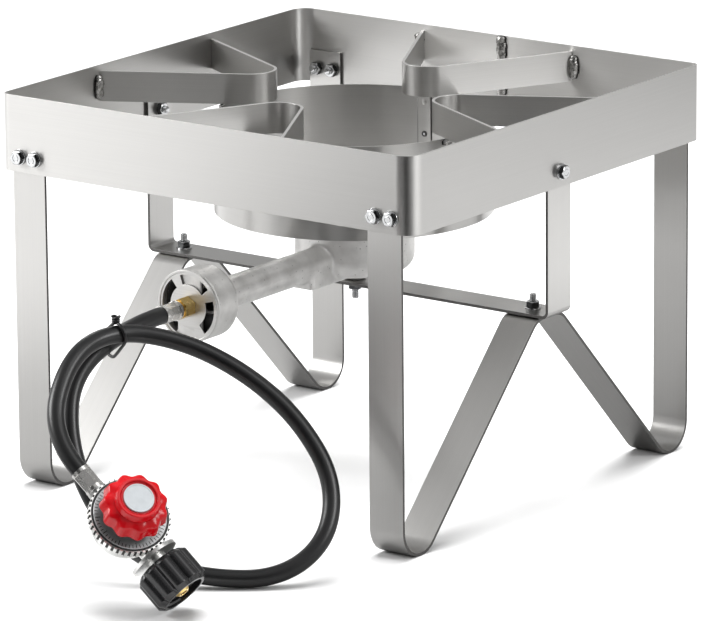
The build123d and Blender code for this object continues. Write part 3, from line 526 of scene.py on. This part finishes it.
def addThread(bm, place, start, end, radius, pitch, depth, steps=20):
    # One three-sided ridge carried round and along by a helical spin, its turns just apart
    before = set(bm.verts)
    low = bm.verts.new((radius - depth, 0, start))
    crest = bm.verts.new((radius, 0, start + pitch / 2))
    high = bm.verts.new((radius - depth, 0, start + pitch * bolts["ridgeShare"]))
    flanks = [bm.edges.new(pair) for pair in ((low, crest), (crest, high), (high, low))]
    turns = (end - start) / pitch - 1
    count = round(steps * turns)
    bmesh.ops.spin(bm, geom=[low, crest, high] + flanks, axis=(0, 0, 1), cent=(0, 0, 0),
                   dvec=(0, 0, pitch * turns / count), angle=2 * math.pi * turns, steps=count)
    verts = [vert for vert in bm.verts if vert not in before]
    ends = {edge for vert in verts for edge in vert.link_edges if edge.is_boundary}
    bmesh.ops.holes_fill(bm, edges=list(ends), sides=3)
    bmesh.ops.transform(bm, matrix=place @ Matrix.Scale(mm, 4), verts=verts)


def addBoltThread(bm, place, start, end):
    addThread(bm, place, start, end, bolts["shankMm"], bolts["pitchMm"], bolts["cutMm"])


def dressHex(bm, name, node):  # zinc all over, with painted shade on the flats
    dressed[node] = settle(bm, name, node, zinc, smoothDeg=24)
    dressed[node].data.materials.append(zincFlatsPaintedShade)


def fastenerSet(kind, places, gripMm, tailMm, washerByNut=False):
    headGap = 0 if washerByNut else bolts["washerThickMm"]
    nutGap = bolts["washerThickMm"] - headGap
    end = gripMm + nutGap + bolts["nutMm"] + tailMm
    boltMesh, washerMesh, nutMesh = bmesh.new(), bmesh.new(), bmesh.new()
    for place in places:
        addHex(boltMesh, place, -headGap - bolts["headMm"], bolts["headMm"])
        addDisc(boltMesh, place, -headGap, end + headGap, bolts["coreMm"])
        addBoltThread(boltMesh, place, gripMm, end - bolts["leadMm"])
        washerAt = gripMm if washerByNut else -headGap
        addDisc(washerMesh, place, washerAt, bolts["washerThickMm"], bolts["washerMm"])
        addHex(nutMesh, place, gripMm + nutGap, bolts["nutMm"])
    for label, bm in (("bolts", boltMesh), ("washers", washerMesh), ("nuts", nutMesh)):
        dressHex(bm, f"{kind}_{label}.turned", f"{kind}_{label}")


legSpots = [side * bolts["legMm"] + half * bolts["halfSpacingMm"] for side in (-1, 1) for half in (-1, 1)]
legPlaces = [aimed((across, panel * bolts["faceMm"], bolts["levelMm"]), (0, -panel, 0))
             for panel in (-1, 1) for across in legSpots]
barPlaces = [aimed((side * bolts["faceMm"], 0, bolts["levelMm"]), (-side, 0, 0)) for side in (-1, 1)]
crownPlaces = [aimed((side * bolts["legMm"], 0, bolts["crownMm"]), (0, 0, 1)) for side in (-1, 1)]
fastenerSet("leg", legPlaces, bolts["sheetMm"] + bolts["stripMm"], bolts["tailMm"])
fastenerSet("crossbar", barPlaces, bolts["sheetMm"] + bolts["stripMm"], bolts["tailMm"])
fastenerSet("crown", crownPlaces, 2 * bolts["stripMm"], bolts["crownTailMm"], True)

stud = {"topMm": 168.3, "nutMm": 150.4, "endMm": 142.4, "washerMm": 155.4, "intoNutMm": 1.0}
upright = Matrix.Identity(4)
bm = bmesh.new()
addDisc(bm, upright, stud["endMm"], stud["topMm"] - stud["endMm"], bolts["coreMm"])
addBoltThread(bm, upright, stud["endMm"] + bolts["leadMm"], stud["nutMm"] + stud["intoNutMm"])
addHex(bm, upright, stud["nutMm"], bolts["nutMm"])
dressHex(bm, "burnerStud", "burner_bolt")
bm = bmesh.new()
addDisc(bm, upright, stud["washerMm"], bolts["washerThickMm"], bolts["washerMm"])
dressed["burner_bolt_washer"] = settle(bm, "burnerStudWasher", "burner_bolt_washer", zinc)

capScrew = {"headMm": 248.0, "shankMm": 23.5}
bm = bmesh.new()
addHex(bm, upright, capScrew["headMm"], bolts["headMm"])
addDisc(bm, upright, capScrew["headMm"] - capScrew["shankMm"], capScrew["shankMm"], bolts["coreMm"])
dressHex(bm, "capScrew", "burner_cap_screw")
print("fasteners turned")


# Weld beads, laid as overlapping ripples that flatten on to the sheet

welds = {
    "radiusMm": 4.0, "spread": 1.1, "sunkMm": 0.4, "rippleMm": 2.4, "rippleShare": 0.09, "rippleLean": 0.3,
    "lumpMm": 5.0, "lumpShare": 0.25, "lumpsAcross": 1.5, "seedStep": 7.3,
    "endLengthMm": 20.0, "levelMm": 308.3, "cornerMm": 78.4, "innerMm": 201.6,
    "tackMm": 5.2, "tackShare": 0.8, "tackTurnDeg": 13.5, "guardMm": 114.3, "supportMm": 295.6,
    "seamLengthMm": 22.0, "seamMm": 6.0, "seamLevelsMm": (315.0, 284.6),
}


def addBead(bm, place, lengthMm, radiusMm, seed):
    # Local Z runs along the bead and Y away from the sheet; the crest attribute tells the height
    crest = bm.verts.layers.float.get("crest") or bm.verts.layers.float.new("crest")
    made = bmesh.ops.create_uvsphere(bm, u_segments=18, v_segments=40, radius=1)["verts"]
    for vert in made:
        across, out, end = vert.co
        along = end * lengthMm / 2
        slant = along + welds["rippleLean"] * across * radiusMm
        ripple = 1 + welds["rippleShare"] * abs(math.sin(math.pi * slant / welds["rippleMm"]))
        spot = Vector((across * welds["lumpsAcross"], along / welds["lumpMm"], seed * welds["seedStep"]))
        lump = 1 + welds["lumpShare"] * noise.noise(spot)
        blunt = max(1 - end ** 4, 0) ** 0.2 / max(1 - end ** 2, 0.0025) ** 0.5  # wide almost to the ends
        wide = radiusMm * ripple * lump * blunt
        vert[crest] = max(out * wide / radiusMm, 0)
        vert.co = Vector((across * wide * welds["spread"], max(out * wide, -welds["sunkMm"]), along)) * mm
    bmesh.ops.transform(bm, matrix=place, verts=made)


bm = bmesh.new()
seed = 0
for quarter in range(4):
    turn = Matrix.Rotation(quarter * math.pi / 2, 4, "Z")
    for side in (-1, 1):
        spot = Vector((side * welds["cornerMm"], -welds["innerMm"], welds["levelMm"])) * mm
        addBead(bm, turn @ Matrix.Translation(spot), welds["endLengthMm"], welds["radiusMm"], seed)
        lean = Matrix.Rotation(math.radians(side * welds["tackTurnDeg"]) + math.pi, 4, "Z")
        rim = Matrix.Translation(Vector((0, welds["guardMm"], welds["supportMm"] - welds["tackMm"] / 2)) * mm)
        addBead(bm, turn @ lean @ rim, welds["tackMm"], welds["tackMm"] * welds["tackShare"], seed + 0.5)
        seed += 1
for level in welds["seamLevelsMm"]:
    spot = Matrix.Translation(Vector((welds["seamMm"], welds["innerMm"], level)) * mm)
    addBead(bm, spot @ Matrix.Rotation(math.pi, 4, "Z"), welds["seamLengthMm"], welds["radiusMm"], seed)
    seed += 1
dressed["weld_beads"] = settle(bm, "weldBeads", "weld_beads", weld, smoothDeg=60)


# Rivets down the guard's lap, the highest one dressed flush

rivets = {
    "headMm": 2.9, "taper": 0.8, "highMm": 0.9, "bedMm": 0.1, "coreMm": 1.3, "dishMm": 0.5, "coreEdgeMm": 0.3,
    "levelsMm": (230.1, 257.1), "flushMm": 284.1, "proudMm": 0.02, "turnDeg": 95.0, "sheetMm": 1.0,
}
bm = bmesh.new()
outward = Vector((math.cos(math.radians(rivets["turnDeg"])), math.sin(math.radians(rivets["turnDeg"])), 0))
outside = welds["guardMm"] - rivets["bedMm"]
for level in rivets["levelsMm"]:
    for facing, radius in ((1, outside), (-1, outside - 2 * rivets["sheetMm"])):
        before = set(bm.verts)
        small = rivets["headMm"] * rivets["taper"]
        cone = bmesh.ops.create_cone(bm, cap_ends=True, segments=28, radius1=rivets["headMm"], radius2=small,
                                     depth=rivets["highMm"])["verts"]
        lid = topFace({face for vert in cone for face in vert.link_faces})
        bmesh.ops.inset_region(bm, faces=[lid], thickness=small - rivets["coreMm"], depth=-rivets["dishMm"])
        bmesh.ops.inset_region(bm, faces=[lid], thickness=rivets["coreEdgeMm"], depth=rivets["dishMm"])
        lid.material_index = 1
        made = [vert for vert in bm.verts if vert not in before]
        spot = outward * radius + Vector((0, 0, level))
        bmesh.ops.transform(bm, matrix=aimed(spot, outward * facing) @ Matrix.Scale(mm, 4), verts=made)
before = set(bm.verts)
flush = aimed(outward * welds["guardMm"] + Vector((0, 0, rivets["flushMm"])), -outward)
addDisc(bm, flush, rivets["proudMm"], 2 * rivets["sheetMm"], rivets["headMm"])
for vert in set(bm.verts) - before:
    for face in vert.link_faces:
        face.material_index = 2
# The heads' outer rings and sides take the dark edge tone, painted shade round the bright zinc cores
dressed["guard_rivets"] = settle(bm, "guardRivets", "guard_rivets", darkEdgePaintedShade, smoothDeg=40)
dressed["guard_rivets"].data.materials.append(zinc)
dressed["guard_rivets"].data.materials.append(guardSteelPaintedShade)

# Painted shadow lines along the lap: thin dark strips on the guard's inner face at the strap's two edges
lap = {"turnsDeg": (91.55, 98.0), "spanDeg": 0.45, "radiusMm": 113.2, "levelsMm": (218.8, 295.4),
       "thickMm": 0.2}
bm = bmesh.new()
for degrees in lap["turnsDeg"]:
    side = [bm.verts.new(Vector((lap["radiusMm"], 0, level)) * mm) for level in lap["levelsMm"]]
    bm.edges.new(side)
    bmesh.ops.rotate(bm, cent=(0, 0, 0), matrix=Matrix.Rotation(math.radians(degrees), 3, "Z"), verts=side)
    bmesh.ops.spin(bm, geom=side + list(side[0].link_edges), axis=(0, 0, 1), cent=(0, 0, 0),
                   angle=math.radians(lap["spanDeg"]), steps=2)
lapPaintedShadow = settle(bm, "lapPaintedShadow", None, darkEdgePaintedShade, "stove")
thick = lapPaintedShadow.modifiers.new("lapThick", "SOLIDIFY")
thick.thickness = lap["thickMm"] * mm
print("welds and rivets laid")


# Regulator

dial = {
    "ticks": 60, "longEvery": 5, "outerMm": 27.9, "shortMm": 2.6, "longMm": 4.2, "wideMm": 0.6,
    "levelMm": 15.95, "highMm": 0.1,
    "plateMm": [(17.6, 15.0), (17.6, 15.95), (28.4, 15.95), (28.7, 15.7), (28.7, 15.0)],  # radius and level
    # lineMm: a black ring in the gap round the plate, painted shadow
    "lineMm": [(28.75, 15.2), (28.75, 15.75), (30.5, 15.75), (30.5, 15.2)],
}


def addRing(bm, corners, steps):
    # Closed profile of radius and level, spun about the regulator's axis
    before = set(bm.verts)
    profile = [bm.verts.new((reach, 0, level)) for reach, level in corners]
    walls = [bm.edges.new(pair) for pair in zip(profile, profile[1:] + profile[:1])]
    bmesh.ops.spin(bm, geom=profile + walls, axis=(0, 0, 1), cent=(0, 0, 0), angle=2 * math.pi, steps=steps,
                   use_merge=True)
    bmesh.ops.transform(bm, matrix=onRegulator, verts=[vert for vert in bm.verts if vert not in before])


bm = bmesh.new()
addRing(bm, dial["plateMm"], 120)
dialPlate = settle(bm, "dialPlate", None, dialZinc, "stove")

bm = bmesh.new()
for step in range(dial["ticks"]):
    length = dial["shortMm"] if step % dial["longEvery"] else dial["longMm"]
    made = bmesh.ops.create_cube(bm, size=1)["verts"]
    bmesh.ops.scale(bm, vec=(length, dial["wideMm"], dial["highMm"]), verts=made)
    bmesh.ops.translate(bm, vec=(dial["outerMm"] - length / 2, 0, dial["levelMm"]), verts=made)
    turn = Matrix.Rotation(2 * math.pi * step / dial["ticks"], 4, "Z")
    bmesh.ops.transform(bm, matrix=onRegulator @ turn, verts=made)
# The black ring in the gap between the dial plate and the crimp ring is painted shadow
addRing(bm, dial["lineMm"], 96)
dialTicks = settle(bm, "dialTicks", None, tickPaint, "stove")

knobStyle = {
    "radiusMm": 26.8, "lobes": 11, "scoopMm": 2.4, "bottomMm": 25.6, "wallMm": 11.0, "wallShare": 0.93,
    "shoulderMm": 2.9, "shoulderShare": 0.735, "browMm": 1.4, "plateauMm": 18.2, "plateauTopMm": 17.0,
    "plateauHighMm": 6.55, "sunkMm": 0.3, "lipMm": 2.6, "troughMm": 1.6, "troughWallMm": 0.5, "edgeMm": 0.7,
}
bm = bmesh.new()
outline = bmesh.ops.create_circle(bm, cap_ends=True, segments=216, radius=1)["verts"]
for vert in outline:
    turn = math.atan2(vert.co.y, vert.co.x)
    reach = knobStyle["radiusMm"] - knobStyle["scoopMm"] * (0.5 - 0.5 * math.cos(knobStyle["lobes"] * turn))
    vert.co = Vector((math.cos(turn) * reach, math.sin(turn) * reach, knobStyle["bottomMm"]))
cap = outline[0].link_faces[0]
brow = []
for stage in ("wall", "shoulder"):
    cap, ring = raiseCap(bm, cap, not brow)
    share = knobStyle[stage + "Share"]
    bmesh.ops.translate(bm, vec=(0, 0, knobStyle[stage + "Mm"]), verts=ring)
    bmesh.ops.scale(bm, vec=(share, share, 1), verts=ring)
    brow = brow or list(cap.edges)
bmesh.ops.bevel(bm, geom=brow, offset=knobStyle["browMm"], offset_type="OFFSET", affect="EDGES", segments=6,
                profile=0.5, material=-1)
foot = knobStyle["bottomMm"] + knobStyle["wallMm"] + knobStyle["shoulderMm"] - knobStyle["sunkMm"]
hub = bmesh.ops.create_cone(bm, cap_ends=True, segments=96, radius1=knobStyle["plateauMm"],
                            radius2=knobStyle["plateauTopMm"], depth=knobStyle["plateauHighMm"])["verts"]
bmesh.ops.translate(bm, vec=(0, 0, foot + knobStyle["plateauHighMm"] / 2), verts=hub)
lid = topFace({face for vert in hub for face in vert.link_faces})
bmesh.ops.inset_region(bm, faces=[lid], thickness=knobStyle["lipMm"], depth=0)
bmesh.ops.inset_region(bm, faces=[lid], thickness=knobStyle["troughWallMm"], depth=-knobStyle["troughMm"])
min(bm.faces, key=lambda face: face.calc_center_median().z).material_index = 1  # the underside takes painted shade
bmesh.ops.transform(bm, matrix=onRegulator, verts=bm.verts)
piece = settle(bm, "knobMoulding", "knob", red, smoothDeg=40)
piece.data.materials.append(paintedShadeBlack)
dressed["knob"] = softEdges(piece, knobStyle["edgeMm"], 3, 40)

insert = {"radiusMm": 11.9, "levelMm": 43.9, "highMm": 1.5, "rimMm": 0.9, "slopeMm": 0.2, "sunkMm": 0.25,
          "edgeMm": 0.12}
bm = bmesh.new()
bmesh.ops.create_cone(bm, cap_ends=True, segments=72, radius1=insert["radiusMm"], radius2=insert["radiusMm"],
                      depth=insert["highMm"])
bmesh.ops.translate(bm, vec=(0, 0, insert["levelMm"] + insert["highMm"] / 2), verts=bm.verts)
lid = topFace(bm.faces)
bmesh.ops.inset_region(bm, faces=[lid], thickness=insert["rimMm"], depth=0)
bmesh.ops.inset_region(bm, faces=[lid], thickness=insert["slopeMm"], depth=-insert["sunkMm"])
bmesh.ops.transform(bm, matrix=onRegulator, verts=bm.verts)
dressed["knob_disc"] = softEdges(settle(bm, "knobInsert", "knob_disc", pale), insert["edgeMm"], 2, 40)

nutStyle = {
    "lobes": 10, "scoopMm": 3.2, "fullness": 0.7, "segments": 240, "edgeMm": 0.5,
    "ringsMm": [  # level, radius and share of the scoop
        (41, 9.2, 0), (41, 19.3, 0.3), (44.6, 23.4, 1), (67.4, 23.4, 1),
        (71, 19.6, 0.3), (71, 16.7, 0), (47, 16.7, 0), (47, 9.2, 0),
    ],
}
bm = bmesh.new()
ring = bmesh.ops.create_circle(bm, segments=nutStyle["segments"], radius=1)["verts"]
for index, (level, radius, share) in enumerate(nutStyle["ringsMm"] + nutStyle["ringsMm"][:1]):
    if index:
        held = set(ring)
        loop = [edge for edge in bm.edges if held.issuperset(edge.verts)]
        ring = vertsIn(bmesh.ops.extrude_edge_only(bm, edges=loop)["geom"])
    for vert in ring:
        turn = math.atan2(vert.co.y, vert.co.x)
        valley = 1 - abs(math.sin(nutStyle["lobes"] * turn / 2)) ** nutStyle["fullness"]
        reach = radius - nutStyle["scoopMm"] * share * valley
        vert.co = Vector((math.cos(turn) * reach, math.sin(turn) * reach, level))
bmesh.ops.remove_doubles(bm, verts=bm.verts, dist=0.001)  # the last ring closes on the first
bmesh.ops.transform(bm, matrix=onRegulator @ Matrix.Rotation(math.pi / 2, 4, "Y"), verts=bm.verts)
piece = settle(bm, "handNut", "hand_nut", nutBlack, smoothDeg=28)
dressed["hand_nut"] = softEdges(piece, nutStyle["edgeMm"], 3, 28)

# Thread in the hand nut's socket
socket = {"radiusMm": 16.9, "startMm": 49.0, "endMm": 69.5, "pitchMm": 3.4, "deepMm": 1.3, "steps": 36}
bm = bmesh.new()
alongNut = onRegulator @ Matrix.Rotation(math.pi / 2, 4, "Y") @ Matrix.Scale(1 / mm, 4)
addThread(bm, alongNut, socket["startMm"], socket["endMm"], socket["radiusMm"] - socket["deepMm"],
          socket["pitchMm"], -socket["deepMm"], socket["steps"])
nutThread = settle(bm, "socketThread", None, nutBlack, "nut")
print("regulator dressed")


# Gas hose, one loop that crosses itself in front of the air chamber

hose = {
    "diameterMm": 14.0,
    "lengthMm": 838,
    "routeMm": [
        (0, -257.9, 183), (0, -302.9, 183), (-14, -352, 155), (0, -376, 108), (27, -378, 57), (60, -366, 22),
        (105, -344, 8.5), (152, -310, 7), (171, -272, 31), (158, -245, 72), (124, -245, 116), (86, -260, 150),
        (43, -284, 175), (5, -324, 187), (0.5, -374.5, 175), (13.2, -416.1, 125.9), (41.6, -414, 100.7),
    ],
}


def smoothTube(name, points, radiusMm, material, closed=False):
    data = bpy.data.curves.new(name, "CURVE")
    data.dimensions = "3D"
    spline = data.splines.new("NURBS")
    spline.points.add(len(points) - 1)
    for spot, point in zip(spline.points, points):
        spot.co = (*(value * mm for value in point), 1)
    spline.order_u = 3
    spline.use_endpoint_u = not closed
    spline.use_cyclic_u = closed
    spline.resolution_u = 20
    data.bevel_depth = radiusMm * mm
    data.bevel_resolution = 10
    data.use_fill_caps = True
    data.materials.append(material)
    piece = bpy.data.objects.new(name, data)
    scene.collection.objects.link(piece)
    return piece


hosePiece = smoothTube("gasHose", hose["routeMm"], 0, hoseBlack)
trace = bpy.data.meshes.new_from_object(hosePiece)
line = [vert.co / mm for vert in trace.vertices]
bpy.data.meshes.remove(trace)
hosePiece.data.bevel_depth = hose["diameterMm"] / 2 * mm
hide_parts("gas_hose")
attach(hosePiece, "stove")

# Wire tie round the two strands where they pass closest, with its ends twisted off on top

tie = {
    "wireMm": 1.3, "slackMm": 0.9, "ease": 1.04, "points": 16, "sagMm": 2.5, "sagFrom": 0.4,
    "firstMm": (40, 100), "lastMm": (110, 200),  # stretches from either end where the strands may meet
    "knotLift": 0.6, "twistMm": 5.5, "twistTurns": 1.5, "twistSteps": 14, "flareFrom": 0.8, "flare": 6,
    "endShare": 0.9, "wraps": (0.15, 0.45), "wrapPoints": 8, "wrapWave": 0.08, "wrapReach": 1.9,
    "wrapShare": 0.8,
}
reached = [0.0]
for near, far in zip(line, line[1:]):
    reached.append(reached[-1] + (far - near).length)
outgoing = [i for i, run in enumerate(reached) if tie["firstMm"][0] < run < tie["firstMm"][1]]
returning = [i for i, run in enumerate(reached) if tie["lastMm"][0] < reached[-1] - run < tie["lastMm"][1]]
gap, first, last = min(((line[i] - line[j]).length, i, j) for i in outgoing for j in returning)
across = (line[last] - line[first]).normalized()
runs = [(line[spot + 1] - line[spot - 1]).normalized() for spot in (first, last)]
side = (runs[0] + runs[1]).normalized().cross(across).normalized()
middle = (line[first] + line[last]) / 2
reach = (hose["diameterMm"] / 2 + tie["slackMm"] + tie["wireMm"]) * tie["ease"]
ring = []
for step in range(tie["points"]):
    turn = 2 * math.pi * step / tie["points"]
    apart = math.copysign(gap / 2, math.cos(turn)) + reach * math.cos(turn)
    point = middle + across * apart + side * reach * math.sin(turn)
    below = max(0, (middle.z - point.z) / reach - tie["sagFrom"])
    ring.append(point - Vector((0, 0, tie["sagMm"] * below)))
knotSpot = max(ring, key=lambda point: point.z)
knotWay = ((knotSpot - middle).normalized() + Vector((0, 0, tie["knotLift"]))).normalized()
rail = knotWay.orthogonal().normalized()
tieRing = smoothTube("tieRing", ring, tie["wireMm"], tieBlack, closed=True)
tiePieces = [tieRing]
for phase in (0, math.pi):
    twist = []
    for step in range(tie["twistSteps"] + 1):
        share = step / tie["twistSteps"]
        spin = Matrix.Rotation(phase + 2 * math.pi * tie["twistTurns"] * share, 3, knotWay)
        wide = tie["wireMm"] * (1 + tie["flare"] * max(share - tie["flareFrom"], 0))
        twist.append(knotSpot + knotWay * tie["twistMm"] * share + spin @ rail * wide)
    thickness = tie["wireMm"] * tie["endShare"]
    tiePieces.append(smoothTube("tieEnd" + str(len(tiePieces)), twist, thickness, tieBlack))
for share in tie["wraps"]:
    wrap = []
    for step in range(tie["wrapPoints"]):
        rise = knotWay * tie["twistMm"] * (share + tie["wrapWave"] * math.sin(step))
        spoke = Matrix.Rotation(2 * math.pi * step / tie["wrapPoints"], 3, knotWay) @ rail
        wrap.append(knotSpot + rise + spoke * tie["wireMm"] * tie["wrapReach"])
    thickness = tie["wireMm"] * tie["wrapShare"]
    tiePieces.append(smoothTube("tieWrap" + str(len(tiePieces)), wrap, thickness, tieBlack, closed=True))
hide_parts("hose_tie")
for piece in tiePieces:
    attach(piece, "stove")

print("hose laid, tied strands", round(gap, 1), "mm apart")


# Studio: pale floor, soft key from the left, camera at the photograph's angle

studio = {
    "aimMm": (0, 0, 165), "distanceMm": 5120.9, "azimuthDeg": 36.25, "elevationDeg": 14.27, "rollDeg": -0.48,
    "focalPx": 6279.8, "frameWidthPx": 713, "frameHeightPx": 621, "aimPx": (355.09, 270.94), "sensorMm": 36,
    "world": 0.5, "floorM": 12, "floorTone": "cfcfcf", "shadeDiscMm": 660, "shadeDiscTone": "989898", "liftMm": 0.2,
    "flags": {  # size, turns about X and Z, centre in metres, tone
        # A grey card under the stove: painted shade of the floor there, for the reflections
        "underStoveShade": ((0.14, 0.16), (0, 0), (0.115, 0.125, 0.0002), "707070"),
        "frontFlag": ((1.75, 1.5), (0, 0), (0.55, -1.47, 0.0004), "101010"),
        "nearFlag": ((0.88, 0.36), (0, 0), (0.68, -0.54, 0.0005), "101010"),
        "whiteCard": ((0.3, 0.32), (0, 0), (0.14, -0.52, 0.0006), "d8d8d8"),
        "legFlag": ((0.36, 0.37), (0, 0), (-0.2, -0.685, 0.0005), "303030"),
        "cameraFlag": ((2.6, 2.0), (90, 15), (1.0, -2.33, 1.0), "101010"),
        "dimFlag": ((0.7, 2.0), (90, 15), (-0.6, -2.75, 1.0), "787878"),
        "backFlag": ((1.2, 1.2), (0, 0), (1.1, 1.75, 0), "8a8a8a"),
    },
    "lamps": {  # place, aim and size in metres, power in watts, whether reflections show it
        "keyLeft": ((-2.0, -1.5, 1.4), (-0.8, -0.9, 0), (1.2, 1.2), 62, True),
        "overhead": ((-0.1, 0.1, 2.2), (0, 0, 0), (1.4, 1.4), 80, False),
        "backWash": ((-1.2, 1.7, 2.0), (-0.9, 1.4, 0), (1.6, 1.6), 62, False),
        "sideFill": ((2.0, 0.2, 1.2), (1.1, 0.3, 0), (0.8, 0.8), 22, True),
        "dialGlint": ((1.12, -0.2, 2.0), (0.08, -0.41, 0.08), (0.9, 0.9), 4.5, True),
    },
}


def makeCamera():
    turn, lift, roll = (math.radians(studio[name]) for name in ("azimuthDeg", "elevationDeg", "rollDeg"))
    right = Vector((math.cos(turn), math.sin(turn), 0))
    ahead = Vector((-math.sin(turn) * math.cos(lift), math.cos(turn) * math.cos(lift), -math.sin(lift)))
    up = right.cross(ahead)
    rolledRight = right * math.cos(roll) + up * math.sin(roll)
    rolledUp = up * math.cos(roll) - right * math.sin(roll)
    data = bpy.data.cameras.new("camera")
    data.sensor_width = studio["sensorMm"]
    data.lens = studio["focalPx"] * studio["sensorMm"] / studio["frameWidthPx"]
    data.shift_x = (studio["frameWidthPx"] / 2 - studio["aimPx"][0]) / studio["frameWidthPx"]
    data.shift_y = (studio["aimPx"][1] - studio["frameHeightPx"] / 2) / studio["frameWidthPx"]
    data.clip_end = 50
    camera = bpy.data.objects.new("camera", data)
    scene.collection.objects.link(camera)
    place = (Vector(studio["aimMm"]) - ahead * studio["distanceMm"]) * mm
    axes = Matrix((rolledRight, rolledUp, -ahead)).transposed().to_4x4()
    camera.matrix_world = Matrix.Translation(place) @ axes
    scene.camera = camera


def layCard(name, bm, tone):
    mesh = bpy.data.meshes.new(name)
    bm.to_mesh(mesh)
    bm.free()
    mesh.materials.append(newMaterial(name + "Paper", {"Base Color": linear(tone), "Roughness": 0.85})[0])
    card = bpy.data.objects.new(name, mesh)
    scene.collection.objects.link(card)
    return card


def makeFloor():
    bm = bmesh.new()
    bmesh.ops.create_grid(bm, x_segments=1, y_segments=1, size=studio["floorM"])
    layCard("floor", bm, studio["floorTone"])


def makeFlags():
    # A grey disc and a grey card under the stove, painted shade of the floor there, dark flags and a white
    # card, which only the reflections see
    bm = bmesh.new()
    bmesh.ops.create_circle(bm, cap_ends=True, segments=96, radius=studio["shadeDiscMm"] * mm)
    cards = {"floorShadeDisc": (bm, studio["shadeDiscTone"])}
    for name, (size, turns, place, tone) in studio["flags"].items():
        bm = bmesh.new()
        bmesh.ops.create_grid(bm, x_segments=1, y_segments=1, size=0.5)
        bmesh.ops.scale(bm, vec=(*size, 1), verts=bm.verts)
        for degrees, axis in zip(turns, "XZ"):
            bmesh.ops.rotate(bm, matrix=Matrix.Rotation(math.radians(degrees), 3, axis), verts=bm.verts)
        bmesh.ops.translate(bm, vec=place, verts=bm.verts)
        cards[name] = (bm, tone)
    for name, (bm, tone) in cards.items():
        bmesh.ops.translate(bm, vec=(0, 0, studio["liftMm"] * mm), verts=bm.verts)
        card = layCard(name, bm, tone)
        card.visible_camera = card.visible_diffuse = card.visible_shadow = card.visible_transmission = False


def softBox(name, place, aim, size, power, mirrored):
    data = bpy.data.lights.new(name, "AREA")
    data.shape = "RECTANGLE"
    data.size, data.size_y = size
    data.energy = power
    lamp = bpy.data.objects.new(name, data)
    lamp.location = place
    lamp.rotation_euler = (Vector(aim) - Vector(place)).to_track_quat("-Z", "Y").to_euler()
    lamp.visible_glossy = mirrored
    scene.collection.objects.link(lamp)


def lightWorld():
    world = bpy.data.worlds.new("studioWorld")
    world.use_nodes = True
    background = world.node_tree.nodes["Background"].inputs
    background["Color"].default_value = linear("ffffff")
    background["Strength"].default_value = studio["world"]
    scene.world = world


makeCamera()
makeFloor()
makeFlags()
for name, settings in studio["lamps"].items():
    softBox(name, *settings)
lightWorld()
scene.view_settings.view_transform = "Standard"
print("studio set")
